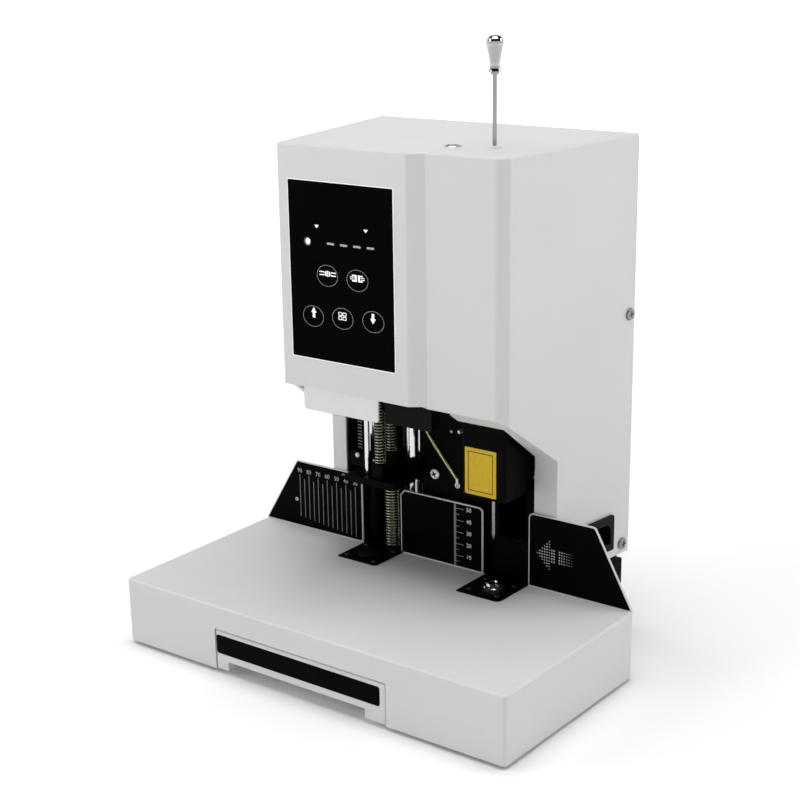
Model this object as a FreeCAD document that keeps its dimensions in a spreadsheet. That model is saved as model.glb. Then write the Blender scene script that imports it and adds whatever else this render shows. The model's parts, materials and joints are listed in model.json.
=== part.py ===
import FreeCAD, Part
import math
import os
import Sketcher

# Desk riveting machine: a wide folded-steel base with a chip drawer, a black
# chassis and column behind it, and a tall sheet-metal head that carries a
# hollow-drill carriage on the left and a hot-rivet carriage on the right.
#
# Drawing frame: X from the left end of the base, Y from the front face of the
# base, Z from the table.  Every sub-part is shifted by half the width and half
# the depth, so that the assembly's origin is the middle of its footprint.

os.makedirs("parts", exist_ok=True)
doc = FreeCAD.newDocument("riveting_machine")
V = FreeCAD.Vector

# ---------------------------------------------------------------- dimensions
SIZES = [
    ("total_width", 360.0, "base width"),
    ("total_depth", 270.0, "front of base to rear screw heads"),
    ("base_depth", 174.0, "base housing, front to back"),
    ("base_top", 56.0, "table to work surface"),
    ("rim_height", 3.0, "table to lower rim of the housing"),
    ("sheet", 1.5, "folded sheet thickness"),
    ("corner_radius", 3.0, "vertical corners of the base"),
    ("edge_radius", 2.0, "bend radius of the work surface's edges"),
    ("floor_z", 10.0, "underside of the base bottom plate"),
    ("slot_left", 93.8, "drawer opening, left"),
    ("slot_right", 258.9, "drawer opening, right"),
    ("slot_top", 36.8, "drawer opening, top"),
    ("drill_x", 128.5, "drill axis"),
    ("rivet_x", 250.0, "rivet axis"),
    ("tool_y", 151.5, "both tool axes"),
    ("stop_y", 172.0, "front of the stop plates"),
    ("head_ax", 86.3, "head plan, front left corner"),
    ("head_front", 101.7, "head plan, front face"),
    ("head_bx", 207.0, "head plan, end of the panel face"),
    ("head_cx", 218.7, "head plan, start of the plain face"),
    ("head_cy", 109.7, "head plan, plain face"),
    ("head_dx", 278.8, "head plan, front right corner"),
    ("head_ex", 286.0, "head plan, end of the right bevel"),
    ("head_ey", 117.2, "head plan, end of the right bevel"),
    ("head_fx", 302.56, "head plan, rear right corner"),
    ("head_gx", 60.44, "head plan, rear left corner"),
    ("head_back", 266.5, "rear edge of the head cover"),
    ("head_top", 396.6, "top of the head"),
    ("head_low", 208.1, "lower edge of the head's front"),
    ("skirt_z", 62.5, "lower edge of the column skirt"),
    ("column_y", 174.2, "front of the column flanges"),
    ("chin_z", 161.5, "where the sloped underside meets the column"),
    ("chin_y", 108.0, "where the sloped underside starts"),
    ("bend", 1.8, "bend radius of the head"),
    ("deck_z", 57.0, "top of the chassis deck"),
    ("panel_left", 97.0, "control film"),
    ("panel_right", 195.5, "control film"),
    ("panel_low", 232.7, "control film"),
    ("panel_high", 369.7, "control film"),
    ("key_a", 10.2, "membrane key, half width"),
    ("key_b", 8.4, "membrane key, half height"),
    ("key_gap", 0.3, "gap round a key"),
    ("rod_radius", 5.0, "guide rods"),
    ("rod_y", 192.0, "guide rods"),
    ("rod_top", 372.0, "guide rods"),
    ("fit", 0.05, "radial running clearance"),
    ("screw_radius", 5.0, "feed screws, over the thread"),
    ("screw_y", 209.0, "feed screws"),
    ("feed_x", 126.5, "drill feed screw"),
    ("needle_radius", 1.5, "guide needle"),
    ("needle_low", 96.9, "needle tip"),
    ("needle_high", 450.1, "needle under its knob"),
]
sheet = doc.addObject("Spreadsheet::Sheet", "dims")
for row, (alias, value, note) in enumerate(SIZES, start=1):
    sheet.set("A%d" % row, note)
    sheet.set("B%d" % row, repr(value))
    sheet.setAlias("B%d" % row, alias)
doc.recompute()


class Size:
    """A length with the sheet formula that it comes from."""

    def __init__(self, value, text):
        self.value = float(value)
        self.text = text

    def _pair(self, other, op, swap=False):
        o = other if isinstance(other, Size) else Size(other, "%.6f" % other)
        a, b = (o, self) if swap else (self, o)
        v = {"+": a.value + b.value, "-": a.value - b.value, "*": a.value * b.value}.get(op)
        if op == "/":
            v = a.value / b.value
        return Size(v, "(%s %s %s)" % (a.text, op, b.text))

    def __add__(self, o): return self._pair(o, "+")
    def __radd__(self, o): return self._pair(o, "+", True)
    def __sub__(self, o): return self._pair(o, "-")
    def __rsub__(self, o): return self._pair(o, "-", True)
    def __mul__(self, o): return self._pair(o, "*")
    def __rmul__(self, o): return self._pair(o, "*", True)
    def __truediv__(self, o): return self._pair(o, "/")
    def __neg__(self): return self._pair(-1.0, "*")


class Dims:
    def __getattr__(self, alias):
        return Size(getattr(sheet, alias), "dims." + alias)


D = Dims()
HX = D.total_width / 2
HY = D.total_depth / 2


def num(q):
    return q.value if isinstance(q, Size) else float(q)


def bind(obj, prop, q):
    """Set a property to a number, or tie it to the sheet."""
    if isinstance(q, Size):
        obj.setExpression(prop, q.text)


def place(obj, x, y, z, rot=None):
    obj.Placement = FreeCAD.Placement(V(num(x), num(y), num(z)), rot or FreeCAD.Rotation())
    bind(obj, "Placement.Base.x", x)
    bind(obj, "Placement.Base.y", y)
    bind(obj, "Placement.Base.z", z)


SUBPARTS = []


def sub(obj, label, x=0, y=0, z=0, rot=None):
    """Name a finished sub-part and set its place in the assembly."""
    obj.Label = label
    place(obj, x - HX, y - HY, z, rot)
    SUBPARTS.append(obj)
    return obj


# ------------------------------------------------------------ sketch helpers
def body(name):
    return doc.addObject("PartDesign::Body", name + "_body")


def new_sketch(b, role="XY_Plane", at=0.0):
    sk = b.newObject("Sketcher::SketchObject", "Sketch")
    plane = [f for f in b.Origin.OriginFeatures if f.Role == role][0]
    sk.AttachmentSupport = [(plane, "")]
    sk.MapMode = "FlatFace"
    off = -at if role == "XZ_Plane" else at
    sk.AttachmentOffset = FreeCAD.Placement(V(0, 0, num(off)), FreeCAD.Rotation())
    if isinstance(off, Size):
        sk.setExpression("AttachmentOffset.Base.z", off.text)
    return sk


def pin_point(sk, geo, pos, x, y):
    for kind, q, axis in (("DistanceX", x, -2), ("DistanceY", y, -1)):
        if not isinstance(q, Size) and abs(q) < 1e-9:
            sk.addConstraint(Sketcher.Constraint("PointOnObject", geo, pos, axis))
        else:
            c = sk.addConstraint(Sketcher.Constraint(kind, -1, 1, geo, pos, num(q)))
            if isinstance(q, Size):
                sk.setExpression("Constraints[%d]" % c, q.text)


def polygon(sk, pts):
    n = len(pts)
    base = sk.GeometryCount
    p = [V(num(x), num(y), 0) for x, y in pts]
    for i in range(n):
        sk.addGeometry(Part.LineSegment(p[i], p[(i + 1) % n]), False)
    for i in range(n):
        sk.addConstraint(Sketcher.Constraint("Coincident", base + i, 2, base + (i + 1) % n, 1))
    for i in range(n):
        pin_point(sk, base + i, 1, pts[i][0], pts[i][1])


def rect(sk, x0, y0, x1, y1):
    polygon(sk, [(x0, y0), (x1, y0), (x1, y1), (x0, y1)])


def circle(sk, x, y, r):
    g = sk.addGeometry(Part.Circle(V(num(x), num(y), 0), V(0, 0, 1), num(r)), False)
    c = sk.addConstraint(Sketcher.Constraint("Radius", g, num(r)))
    if isinstance(r, Size):
        sk.setExpression("Constraints[%d]" % c, r.text)
    pin_point(sk, g, 3, x, y)


def ellipse(sk, x, y, a, c):
    """Upright ellipse, a half wide and c half high."""
    g = sk.addGeometry(Part.Ellipse(V(num(x), num(y), 0), num(a), num(c)), False)
    sk.exposeInternalGeometry(g)
    pin_point(sk, g, 3, x, y)
    sk.addConstraint(Sketcher.Constraint("Horizontal", g + 1))
    for line, length in ((g + 1, a * 2.0), (g + 2, c * 2.0)):
        k = sk.addConstraint(Sketcher.Constraint("Distance", line, num(length)))
        sk.setExpression("Constraints[%d]" % k, length.text)


def pad(b, sk, length):
    f = b.newObject("PartDesign::Pad", "Pad")
    f.Profile = sk
    f.Length = num(length)
    bind(f, "Length", length)
    f.Reversed = sk.Placement.Rotation.multVec(V(0, 0, 1)).y < -0.5
    doc.recompute()
    return f


def pocket(b, sk, length, up=False):
    """Cut from the sketch towards -Z, +Y or -X; up turns that round."""
    before = b.Shape.Volume
    f = b.newObject("PartDesign::Pocket", "Pocket")
    f.Profile = sk
    f.Length = num(length)
    bind(f, "Length", length)
    f.Reversed = up
    doc.recompute()
    if not b.Shape.Volume < before - 1e-6:
        raise RuntimeError("pocket in %s removed nothing" % b.Name)
    return f


def edges(shape, pick):
    out = []
    for i, e in enumerate(shape.Edges):
        if e.Length < 1e-6:
            continue
        a, c = e.firstVertex().Point, e.lastVertex().Point
        if pick(a, c, e):
            out.append("Edge%d" % (i + 1))
    return out


def dress(b, kind, size, pick):
    doc.recompute()
    names = edges(b.Tip.Shape, pick)
    if not names:
        raise RuntimeError("no edge to dress on " + b.Name)
    f = b.newObject("PartDesign::" + kind, kind)
    f.Base = (b.Tip if b.Tip is not f else f.BaseFeature, names)
    prop = "Radius" if kind == "Fillet" else "Size"
    setattr(f, prop, num(size))
    bind(f, prop, size)
    doc.recompute()
    return f


def along(axis, tol=1e-4):
    i = "xyz".index(axis)
    others = [k for k in range(3) if k != i]

    def test(a, c, e=None):
        return all(abs(a[k] - c[k]) < tol for k in others) and abs(a[i] - c[i]) > tol
    return test


AX, AY, AZ = along("x"), along("y"), along("z")


def near(p, **kw):
    return all(abs(getattr(p, k) - num(v)) < 0.02 for k, v in kw.items())


def revolve(b, pts):
    """Turn a profile of (radius, height) points about the body's own Z axis."""
    sk = new_sketch(b, "XZ_Plane", 0.0)
    polygon(sk, pts)
    f = b.newObject("PartDesign::Revolution", "Revolution")
    f.Profile = sk
    f.ReferenceAxis = (sk, ["V_Axis"])
    f.Angle = 360.0
    doc.recompute()
    return f


# --------------------------------------------------------- primitive helpers
def box(x0, y0, z0, x1, y1, z1):
    o = doc.addObject("Part::Box", "Block")
    for prop, q in (("Length", x1 - x0), ("Width", y1 - y0), ("Height", z1 - z0)):
        setattr(o, prop, num(q))
        bind(o, prop, q)
    place(o, x0, y0, z0)
    return o


def cyl(x, y, z, r, h, axis="z"):
    o = doc.addObject("Part::Cylinder", "Round")
    for prop, q in (("Radius", r), ("Height", h)):
        setattr(o, prop, num(q))
        bind(o, prop, q)
    rot = {"z": FreeCAD.Rotation(), "y": FreeCAD.Rotation(V(1, 0, 0), -90),
           "x": FreeCAD.Rotation(V(0, 1, 0), 90)}[axis]
    place(o, x, y, z, rot)
    return o


def cut(base, tools):
    tool = tools[0] if len(tools) == 1 else fuse(tools)
    o = doc.addObject("Part::Cut", "Cut")
    o.Base = base
    o.Tool = tool
    return o


def common(base, tool):
    o = doc.addObject("Part::Common", "Common")
    o.Base = base
    o.Tool = tool
    return o


def fuse(items):
    o = doc.addObject("Part::MultiFuse", "Fusion")
    o.Shapes = items
    return o


def group(items):
    o = doc.addObject("Part::Compound", "Group")
    o.Links = items
    return o


def prism(pts, z0, z1):
    """Upright prism on a plan drawn in a sketch."""
    sk = doc.addObject("Sketcher::SketchObject", "Plan")
    polygon(sk, pts)
    place(sk, 0, 0, z0)
    o = doc.addObject("Part::Extrusion", "Prism")
    o.Base = sk
    o.DirMode = "Custom"
    o.Dir = V(0, 0, 1)
    o.LengthFwd = num(z1 - z0)
    bind(o, "LengthFwd", z1 - z0)
    o.Solid = True
    return o


def side_prism(pts, x0, x1):
    """Prism along X on a (Y, Z) outline."""
    sk = doc.addObject("Sketcher::SketchObject", "Outline")
    polygon(sk, pts)
    place(sk, x0, 0, 0, FreeCAD.Rotation(V(1, 1, 1), 120))
    o = doc.addObject("Part::Extrusion", "Prism")
    o.Base = sk
    o.DirMode = "Custom"
    o.Dir = V(1, 0, 0)
    o.LengthFwd = num(x1 - x0)
    bind(o, "LengthFwd", x1 - x0)
    o.Solid = True
    return o


def feature(label, shape, x=0, y=0, z=0):
    o = doc.addObject("Part::Feature", "Made")
    o.Shape = shape
    return sub(o, label, x, y, z)


def inset(pts, t):
    """Corners of a plan moved in by t along both their edges' normals."""
    n = len(pts)
    p = [(num(x), num(y)) for x, y in pts]
    area = sum(p[i][0] * p[(i + 1) % n][1] - p[(i + 1) % n][0] * p[i][1] for i in range(n))
    s = 1.0 if area > 0 else -1.0
    out = []
    for i in range(n):
        a, b, c = p[i - 1], p[i], p[(i + 1) % n]
        d1 = (b[0] - a[0], b[1] - a[1])
        d2 = (c[0] - b[0], c[1] - b[1])
        l1, l2 = math.hypot(*d1), math.hypot(*d2)
        n1 = (-d1[1] / l1 * s, d1[0] / l1 * s)
        n2 = (-d2[1] / l2 * s, d2[0] / l2 * s)
        k = 1.0 + n1[0] * n2[0] + n1[1] * n2[1]
        out.append((pts[i][0] + t * ((n1[0] + n2[0]) / k), pts[i][1] + t * ((n1[1] + n2[1]) / k)))
    return out


# ====================================================================== BASE
# Housing: one folded shell, open underneath, with the drawer's opening in its
# front and bores in the work surface for the drill pad and the lower die.
b = body("base_housing")
sk = new_sketch(b, "XY_Plane", D.rim_height)
rect(sk, 0, 0, D.total_width, D.base_depth)
pad(b, sk, D.base_top - D.rim_height)
dress(b, "Fillet", D.corner_radius, lambda a, c, e: AZ(a, c))
dress(b, "Fillet", D.edge_radius,
      lambda a, c, e: near(a, z=D.base_top) and near(c, z=D.base_top)
      and not (AX(a, c) and near(a, y=D.base_depth)) and min(a.y, c.y) < num(D.base_depth) - 3.5)
sk = new_sketch(b, "XY_Plane", D.base_top - D.sheet)
rect(sk, D.sheet, D.sheet, D.total_width - D.sheet, D.base_depth - D.sheet)
pocket(b, sk, D.base_top - D.sheet - D.rim_height + 1)
sk = new_sketch(b, "XZ_Plane", -1.0)
rect(sk, D.slot_left, 2.0, D.slot_right, D.slot_top)
pocket(b, sk, 4.0)
FOOT_SCREWS = [(114.5, 140.0), (142.5, 140.0), (114.5, 166.0), (142.5, 166.0),
               (236.6, 137.5), (262.5, 137.5), (236.6, 162.0), (262.5, 162.0)]
sk = new_sketch(b, "XY_Plane", D.base_top + 1)
circle(sk, D.drill_x, D.tool_y, 7.0)
circle(sk, D.rivet_x, D.tool_y, 6.0)
for x, y in FOOT_SCREWS:
    circle(sk, x, y, 1.5 + D.fit)
pocket(b, sk, 4.0)
sub(b, "base_housing")

# Bottom plate inside the housing, cut back at the front so that a hand can
# reach under the drawer.
b = body("base_bottom_plate")
sk = new_sketch(b, "XY_Plane", D.floor_z)
polygon(sk, [(D.sheet, D.sheet), (90.0, D.sheet), (90.0, 40.0), (262.0, 40.0), (262.0, D.sheet),
             (D.total_width - D.sheet, D.sheet), (D.total_width - D.sheet, D.base_depth - D.sheet),
             (D.sheet, D.base_depth - D.sheet)])
pad(b, sk, D.sheet)
sub(b, "base_bottom_plate")

feet = []
for x, y in ((25, 20), (335, 20), (25, 152), (335, 152)):
    feet.append(cyl(x, y, 0, 9.0, D.floor_z))
for x, y in ((92, 250), (272, 250)):
    feet.append(cyl(x, y, 0, 6.0, D.rim_height))
sub(group(feet), "rubber_feet")

# Drawer: a tray behind a folded front with a finger notch below it.
b = body("chip_drawer")
sk = new_sketch(b, "XY_Plane", 12.5)
rect(sk, 96.5, 11.0, 256.3, 168.0)
pad(b, sk, 21.5)
sk = new_sketch(b, "XY_Plane", 34.0)
rect(sk, 97.7, 12.2, 255.1, 166.8)
pocket(b, sk, 20.3)
sub(b, "chip_drawer")

b = body("drawer_front")
sk = new_sketch(b, "XZ_Plane", 0.3)
polygon(sk, [(D.slot_left + 0.9, 4.0), (106.5, 4.0), (106.5, 11.5), (239.5, 11.5), (239.5, 4.0),
             (D.slot_right - 0.9, 4.0), (D.slot_right - 0.9, D.slot_top - 0.9),
             (D.slot_left + 0.9, D.slot_top - 0.9)])
pad(b, sk, 10.7)
dress(b, "Fillet", 1.2, lambda a, c, e: near(a, y=0.3) and near(c, y=0.3)
      and (AX(a, c) and a.z > 30 or AZ(a, c) and (a.x < 96 or a.x > 257)))
sk = new_sketch(b, "XZ_Plane", 11.2)
polygon(sk, [(D.slot_left + 2.4, 5.5), (105.0, 5.5), (105.0, 17.5), (241.0, 17.5), (241.0, 5.5),
             (D.slot_right - 2.4, 5.5), (D.slot_right - 2.4, D.slot_top - 2.4),
             (D.slot_left + 2.4, D.slot_top - 2.4)])
pocket(b, sk, 9.4, up=True)
# the finger grip slopes up and back from the lower edge of the front
sk = new_sketch(b, "YZ_Plane", 240.5)
polygon(sk, [(2.0, 10.5), (12.0, 10.5), (12.0, 15.6), (9.0, 15.4), (4.0, 12.9)])
pocket(b, sk, 135.0)
sub(b, "drawer_front")

# ============================================================ REAR STRUCTURE
# Chassis: an inverted tub behind the base, with a turned-in lower flange that
# carries the rear feet and the seat of the return spring.
b = body("rear_chassis")
sk = new_sketch(b, "XY_Plane", D.rim_height)
polygon(sk, [(76.8, 174.5), (290.0, 174.5), (300.2, 262.0), (63.1, 262.0)])
pad(b, sk, D.deck_z - D.rim_height)
sk = new_sketch(b, "XY_Plane", D.rim_height)
rect(sk, 100.0, 196.0, 262.0, 242.0)
pocket(b, sk, 1.5, up=True)
sk = new_sketch(b, "XY_Plane", D.rim_height + 1.5)
polygon(sk, [(78.9, 176.5), (288.1, 176.5), (297.9, 260.0), (65.4, 260.0)])
pocket(b, sk, D.deck_z - D.rim_height - 3.5, up=True)
sk = new_sketch(b, "XY_Plane", D.deck_z)
circle(sk, 129.5, 183.3, 8.0)
pocket(b, sk, D.deck_z - D.rim_height - 1.5)
sk = new_sketch(b, "XY_Plane", D.deck_z)
circle(sk, 152.3, 180.0, 2.8)
circle(sk, D.feed_x, D.screw_y, 11.2)
circle(sk, D.rivet_x, D.screw_y, 11.2)
pocket(b, sk, 4.0)
sk = new_sketch(b, "XY_Plane", D.deck_z)
polygon(sk, [(74.4, 190.0), (75.9, 190.0), (65.7, 255.0), (64.2, 255.0)])
polygon(sk, [(290.6, 190.0), (292.1, 190.0), (299.3, 255.0), (297.8, 255.0)])
pad(b, sk, 11.0)
sub(b, "rear_chassis")

# Backbone: a U of 3 mm plate with a turned top flange, which the rods run up
# to; a window leaves room for the power inlet.
b = body("mech_frame")
sk = new_sketch(b, "XY_Plane", D.deck_z)
polygon(sk, [(84.0, 184.0), (87.0, 184.0), (87.0, 222.0), (283.0, 222.0), (283.0, 184.0),
             (286.0, 184.0), (286.0, 225.0), (84.0, 225.0)])
pad(b, sk, D.rod_top - D.deck_z)
sk = new_sketch(b, "XY_Plane", D.rod_top)
rect(sk, 84.0, 184.0, 286.0, 225.0)
pad(b, sk, 3.0)
sk = new_sketch(b, "XZ_Plane", 195.0)
rect(sk, 262.0, 62.0, 290.0, 104.0)
pocket(b, sk, 40.0)
sub(b, "mech_frame")

RODS = [102.5, 150.5, 224.0, 276.0]
sub(group([cyl(x, D.rod_y, D.deck_z, D.rod_radius, D.rod_top - D.deck_z) for x in RODS]), "guide_rods")

# Dust panel in front of the rods, slotted for the rivet arm.
b = body("mid_panel")
sk = new_sketch(b, "XZ_Plane", 180.0)
polygon(sk, [(163.0, D.deck_z), (272.0, D.deck_z), (272.0, 205.0), (262.0, 205.0), (262.0, 88.0),
             (236.0, 88.0), (236.0, 205.0), (163.0, 205.0)])
pad(b, sk, 1.5)
sub(b, "mid_panel")

# Cable duct in the throat, on a bracket from the dust panel.
b = body("inner_duct")
sk = new_sketch(b, "XY_Plane", 179.0)
polygon(sk, [(160.0, 135.0), (204.0, 135.0), (204.0, 146.0), (202.5, 146.0), (202.5, 136.5),
             (161.5, 136.5), (161.5, 146.0), (160.0, 146.0)])
pad(b, sk, 71.0)
sk = new_sketch(b, "XY_Plane", 198.0)
rect(sk, 170.0, 136.5, 194.0, 180.0)
pad(b, sk, 1.5)
sub(b, "inner_duct")

# ================================================================ HEAD COVER
# A tapered, folded cover: plan with two bevels, rolled edges, sloped chin,
# turned-in flanges round the throat, down the column and at the back.
plan = [(D.head_ax, D.head_front), (D.head_bx, D.head_front), (D.head_cx, D.head_cy),
        (D.head_dx, D.head_cy), (D.head_ex, D.head_ey), (D.head_fx, D.head_back),
        (D.head_gx, D.head_back)]
shell = prism(plan, D.skirt_z, D.head_top)
doc.recompute()
back = num(D.head_back)
picked = []
for i, e in enumerate(shell.Shape.Edges):
    a, c = e.firstVertex().Point, e.lastVertex().Point
    if max(a.y, c.y) > back - 0.01 and min(a.y, c.y) > back - 0.01:
        continue
    if AZ(a, c) or (near(a, z=D.head_top) and near(c, z=D.head_top)):
        picked.append((i + 1, num(D.bend), num(D.bend)))
rolled = doc.addObject("Part::Fillet", "Rolled")
rolled.Base = shell
rolled.Edges = picked
chin = side_prism([(90.0, 40.0), (D.column_y, 40.0), (D.column_y, D.chin_z), (D.chin_y, D.head_low),
                   (90.0, D.head_low)], 40.0, 320.0)
outside = cut(rolled, [chin])
inner = inset(plan, D.sheet)
hollow = prism(inner, 40.0, D.head_top - D.sheet)
slope = (num(D.head_low) - num(D.chin_z)) / (num(D.column_y) - num(D.chin_y))
k = (math.sqrt(1 + slope * slope) - slope)
inner_chin = side_prism([(90.0, 30.0), (D.column_y + D.sheet, 30.0),
                         (D.column_y + D.sheet, D.chin_z + D.sheet * k),
                         (D.chin_y + D.sheet * ((math.sqrt(1 + slope * slope) - 1) / slope), D.head_low + D.sheet),
                         (90.0, D.head_low + D.sheet)], 30.0, 330.0)
cavity = cut(hollow, [inner_chin])
skin = cut(outside, [cavity])
(bx, by), (cx, cy) = inner[1], inner[2]
throat = prism([(90.0, by), (bx, by), (cx, cy), (239.0, cy), (236.0, cy + 3.0), (236.0, 124.5),
                (276.5, 124.5), (272.1, 178.5), (88.7, 178.5)], 150.0, 214.0)
openings = [throat,
            box(88.7, 172.6, 40.0, 272.1, 179.0, 166.0),
            box(72.0, D.head_back - 4.0, 40.0, 291.0, D.head_back + 2.0, 386.0)]
KEYS = [("drill_key", 133.3, 299.2), ("bind_key", 162.0, 298.7), ("up_key", 118.5, 266.2),
        ("repeat_key", 147.1, 267.8), ("down_key", 176.2, 269.0)]
LED = (114.9, 323.8)
for name, x, z in KEYS:
    openings.append(cyl(x, D.head_front - 2.0, z, D.key_a + D.key_gap + 0.15, 5.0, "y"))
openings.append(cyl(LED[0], D.head_front - 2.0, LED[1], 2.3, 5.0, "y"))
openings.append(cyl(D.rivet_x, D.tool_y, D.head_top - 3.0, 3.6, 5.0))
openings.append(cyl(219.6, 142.6, D.head_top - 3.0, 2.1, 5.0))
# right side wall: its own direction, and points measured along it from the rear
ru = V(num(D.head_fx - D.head_ex), num(D.head_back - D.head_ey), 0).normalize()
rn = V(ru.y, -ru.x, 0)
lu = V(num(D.head_gx - D.head_ax), num(D.head_back - D.head_front), 0).normalize()
ln = V(-lu.y, lu.x, 0)
F = V(num(D.head_fx), num(D.head_back), 0)
G = V(num(D.head_gx), num(D.head_back), 0)
turn = math.degrees(math.atan2(rn.y, rn.x))
inlet_at = F - ru * 45.0 + V(0, 0, 84.95)
o = box(0, 0, 0, 6.0, 41.0, 25.0)
place(o, 0, 0, 0)
o.Placement = FreeCAD.Placement(inlet_at - rn * 4.0 - ru * 20.5 - V(0, 0, 12.5),
                                FreeCAD.Rotation(V(0, 0, 1), turn))
openings.append(o)
SIDE_SCREWS = [(F - ru * 5.75 + V(0, 0, 258.95), rn), (F - ru * 8.4 + V(0, 0, 70.85), rn),
               (G - lu * 5.4 + V(0, 0, 258.8), ln), (G - lu * 7.8 + V(0, 0, 70.5), ln)]
for p, n in SIDE_SCREWS:
    o = doc.addObject("Part::Cylinder", "Round")
    o.Radius, o.Height = 2.05, 6.0
    o.Placement = FreeCAD.Placement(p - n * 4.0, FreeCAD.Rotation(V(0, 0, 1), n))
    openings.append(o)
REAR_SCREWS = [(66.5, 80.0), (66.5, 230.0), (66.5, 384.0), (296.5, 80.0), (296.5, 230.0), (296.5, 384.0)]
for x, z in REAR_SCREWS:
    openings.append(cyl(x, D.head_back - 3.0, z, 2.05, 5.0, "y"))
cover = cut(skin, openings)
# The cover is welded up from plain panels, and each is a solid of its own, so
# that none of them has to be followed round a corner: the top, the walls, the
# rim at the back, and inside them the bottom, the slope and the column flange.
wall_top = D.head_top - D.sheet
outer = inset(plan, -2.0)
panels = [box(40.0, 80.0, wall_top, 330.0, 290.0, D.head_top + 1.0)]
for i in range(len(plan)):
    j = (i + 1) % len(plan)
    ends = [outer[i], outer[j], inner[j], inner[i]]
    if i == 5:
        panels += [prism(ends, 30.0, 386.0), prism(ends, 386.0, wall_top)]
    else:
        panels.append(prism(ends, 30.0, wall_top))
panels = [common(cover, tool) for tool in panels]
within = common(cover, prism(inner, 30.0, wall_top))
fold = (D.chin_y + D.sheet * ((math.sqrt(1 + slope * slope) - 1) / slope), D.head_low + D.sheet)
knee = (D.column_y + D.sheet, D.chin_z + D.sheet * k)
for outline in ([(90.0, D.head_low), (D.chin_y, D.head_low), fold, (90.0, D.head_low + D.sheet)],
                [(D.chin_y, D.head_low), (D.column_y, D.chin_z), knee, fold],
                [(D.column_y, 30.0), (D.column_y + D.sheet, 30.0), knee, (D.column_y, D.chin_z)]):
    panels.append(common(within, side_prism(outline, 30.0, 330.0)))
sub(group(panels), "head_cover")

# Flat rear cover with two fields of cooling slots.
b = body("rear_cover")
sk = new_sketch(b, "XZ_Plane", D.head_back)
rect(sk, D.head_gx + 0.4, D.skirt_z + 0.5, D.head_fx - 0.4, D.head_top - 0.6)
pad(b, sk, D.sheet)
dress(b, "Fillet", 3.0, lambda a, c, e: AY(a, c))
sk = new_sketch(b, "XZ_Plane", D.head_back - 1.0)
for x, z in REAR_SCREWS:
    circle(sk, x, z, 2.05)
pocket(b, sk, 4.0)
for z0, count in ((96.0, 9), (300.0, 9)):
    sk = new_sketch(b, "XZ_Plane", D.head_back - 1.0)
    for x0 in (110.0, 190.0):
        rect(sk, x0, z0, x0 + 62.0, z0 + 3.0)
    cutf = pocket(b, sk, 4.0)
    pat = b.newObject("PartDesign::LinearPattern", "Slots")
    pat.Originals = [cutf]
    pat.Direction = (sk, ["V_Axis"])
    pat.Length = 8.0 * (count - 1)
    pat.Occurrences = count
    b.Tip = pat
    doc.recompute()
sub(b, "rear_cover")

# Guard strip hanging below the front face, fixed inside it.
b = body("guard_plate")
sk = new_sketch(b, "XZ_Plane", D.head_front + D.sheet)
rect(sk, 105.0, 190.0, 177.5, 228.0)
pad(b, sk, 1.2)
dress(b, "Fillet", 3.0, lambda a, c, e: AY(a, c) and a.z < 191)
sub(b, "guard_plate")

# ============================================================= CONTROL PANEL
b = body("control_panel_film")
sk = new_sketch(b, "XZ_Plane", D.head_front - 0.5)
rect(sk, D.panel_left, D.panel_low, D.panel_right, D.panel_high)
pad(b, sk, 0.5)
dress(b, "Fillet", 1.0, lambda a, c, e: AY(a, c))
sk = new_sketch(b, "XZ_Plane", D.head_front - 1.0)
for name, x, z in KEYS:
    ellipse(sk, x, z, D.key_a + D.key_gap, D.key_b + D.key_gap)
circle(sk, LED[0], LED[1], 2.3)
pocket(b, sk, 3.0)
sub(b, "control_panel_film")

for name, x, z in KEYS:
    b = body(name)
    sk = new_sketch(b, "XZ_Plane", 0.0)
    ellipse(sk, 0, 0, D.key_a, D.key_b)
    pad(b, sk, 3.1)
    sub(b, name, x, D.head_front - 0.6, z)

b = body("status_led")
revolve(b, [(0, 0), (2.0, 0), (2.0, 6.2), (1.4, 6.9), (0, 7.1)])
sub(b, "status_led", LED[0], D.head_front + 6.3, LED[1], FreeCAD.Rotation(V(1, 0, 0), 90))

board = [box(100.0, D.head_front + 6.3, 236.0, 192.0, D.head_front + 7.9, 366.0)]
for name, x, z in KEYS:
    board.append(box(x - 3.0, D.head_front + 3.1, z - 3.0, x + 3.0, D.head_front + 6.3, z + 3.0))
for x, z in ((104.0, 240.0), (188.0, 240.0), (104.0, 362.0), (188.0, 362.0)):
    board.append(cyl(x, D.head_front + D.sheet, z, 3.0, 6.3 - D.sheet, "y"))
board.append(box(120.0, D.head_front + 7.9, 300.0, 150.0, D.head_front + 12.0, 330.0))
board.append(box(160.0, D.head_front + 7.9, 340.0, 185.0, D.head_front + 15.0, 352.0))
sub(fuse(board), "control_board")

# =============================================================== WORK SURFACE
b = body("left_stop_plate")
sk = new_sketch(b, "XZ_Plane", D.stop_y)
polygon(sk, [(0, D.base_top), (106.0, D.base_top), (106.0, 115.0), (36.2, 115.0)])
pad(b, sk, 1.5)
dress(b, "Fillet", 2.0, lambda a, c, e: AY(a, c) and near(a, x=36.2))
sub(b, "left_stop_plate")

b = body("centre_stop_plate")
sk = new_sketch(b, "XZ_Plane", D.stop_y)
rect(sk, 145.9, D.base_top, 226.0, 110.7)
pad(b, sk, 1.5)
dress(b, "Fillet", 4.0, lambda a, c, e: AY(a, c) and near(a, x=226.0, z=110.7))
dress(b, "Chamfer", 4.0, lambda a, c, e: AY(a, c) and near(a, x=145.9, z=110.7))
sub(b, "centre_stop_plate")

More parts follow.
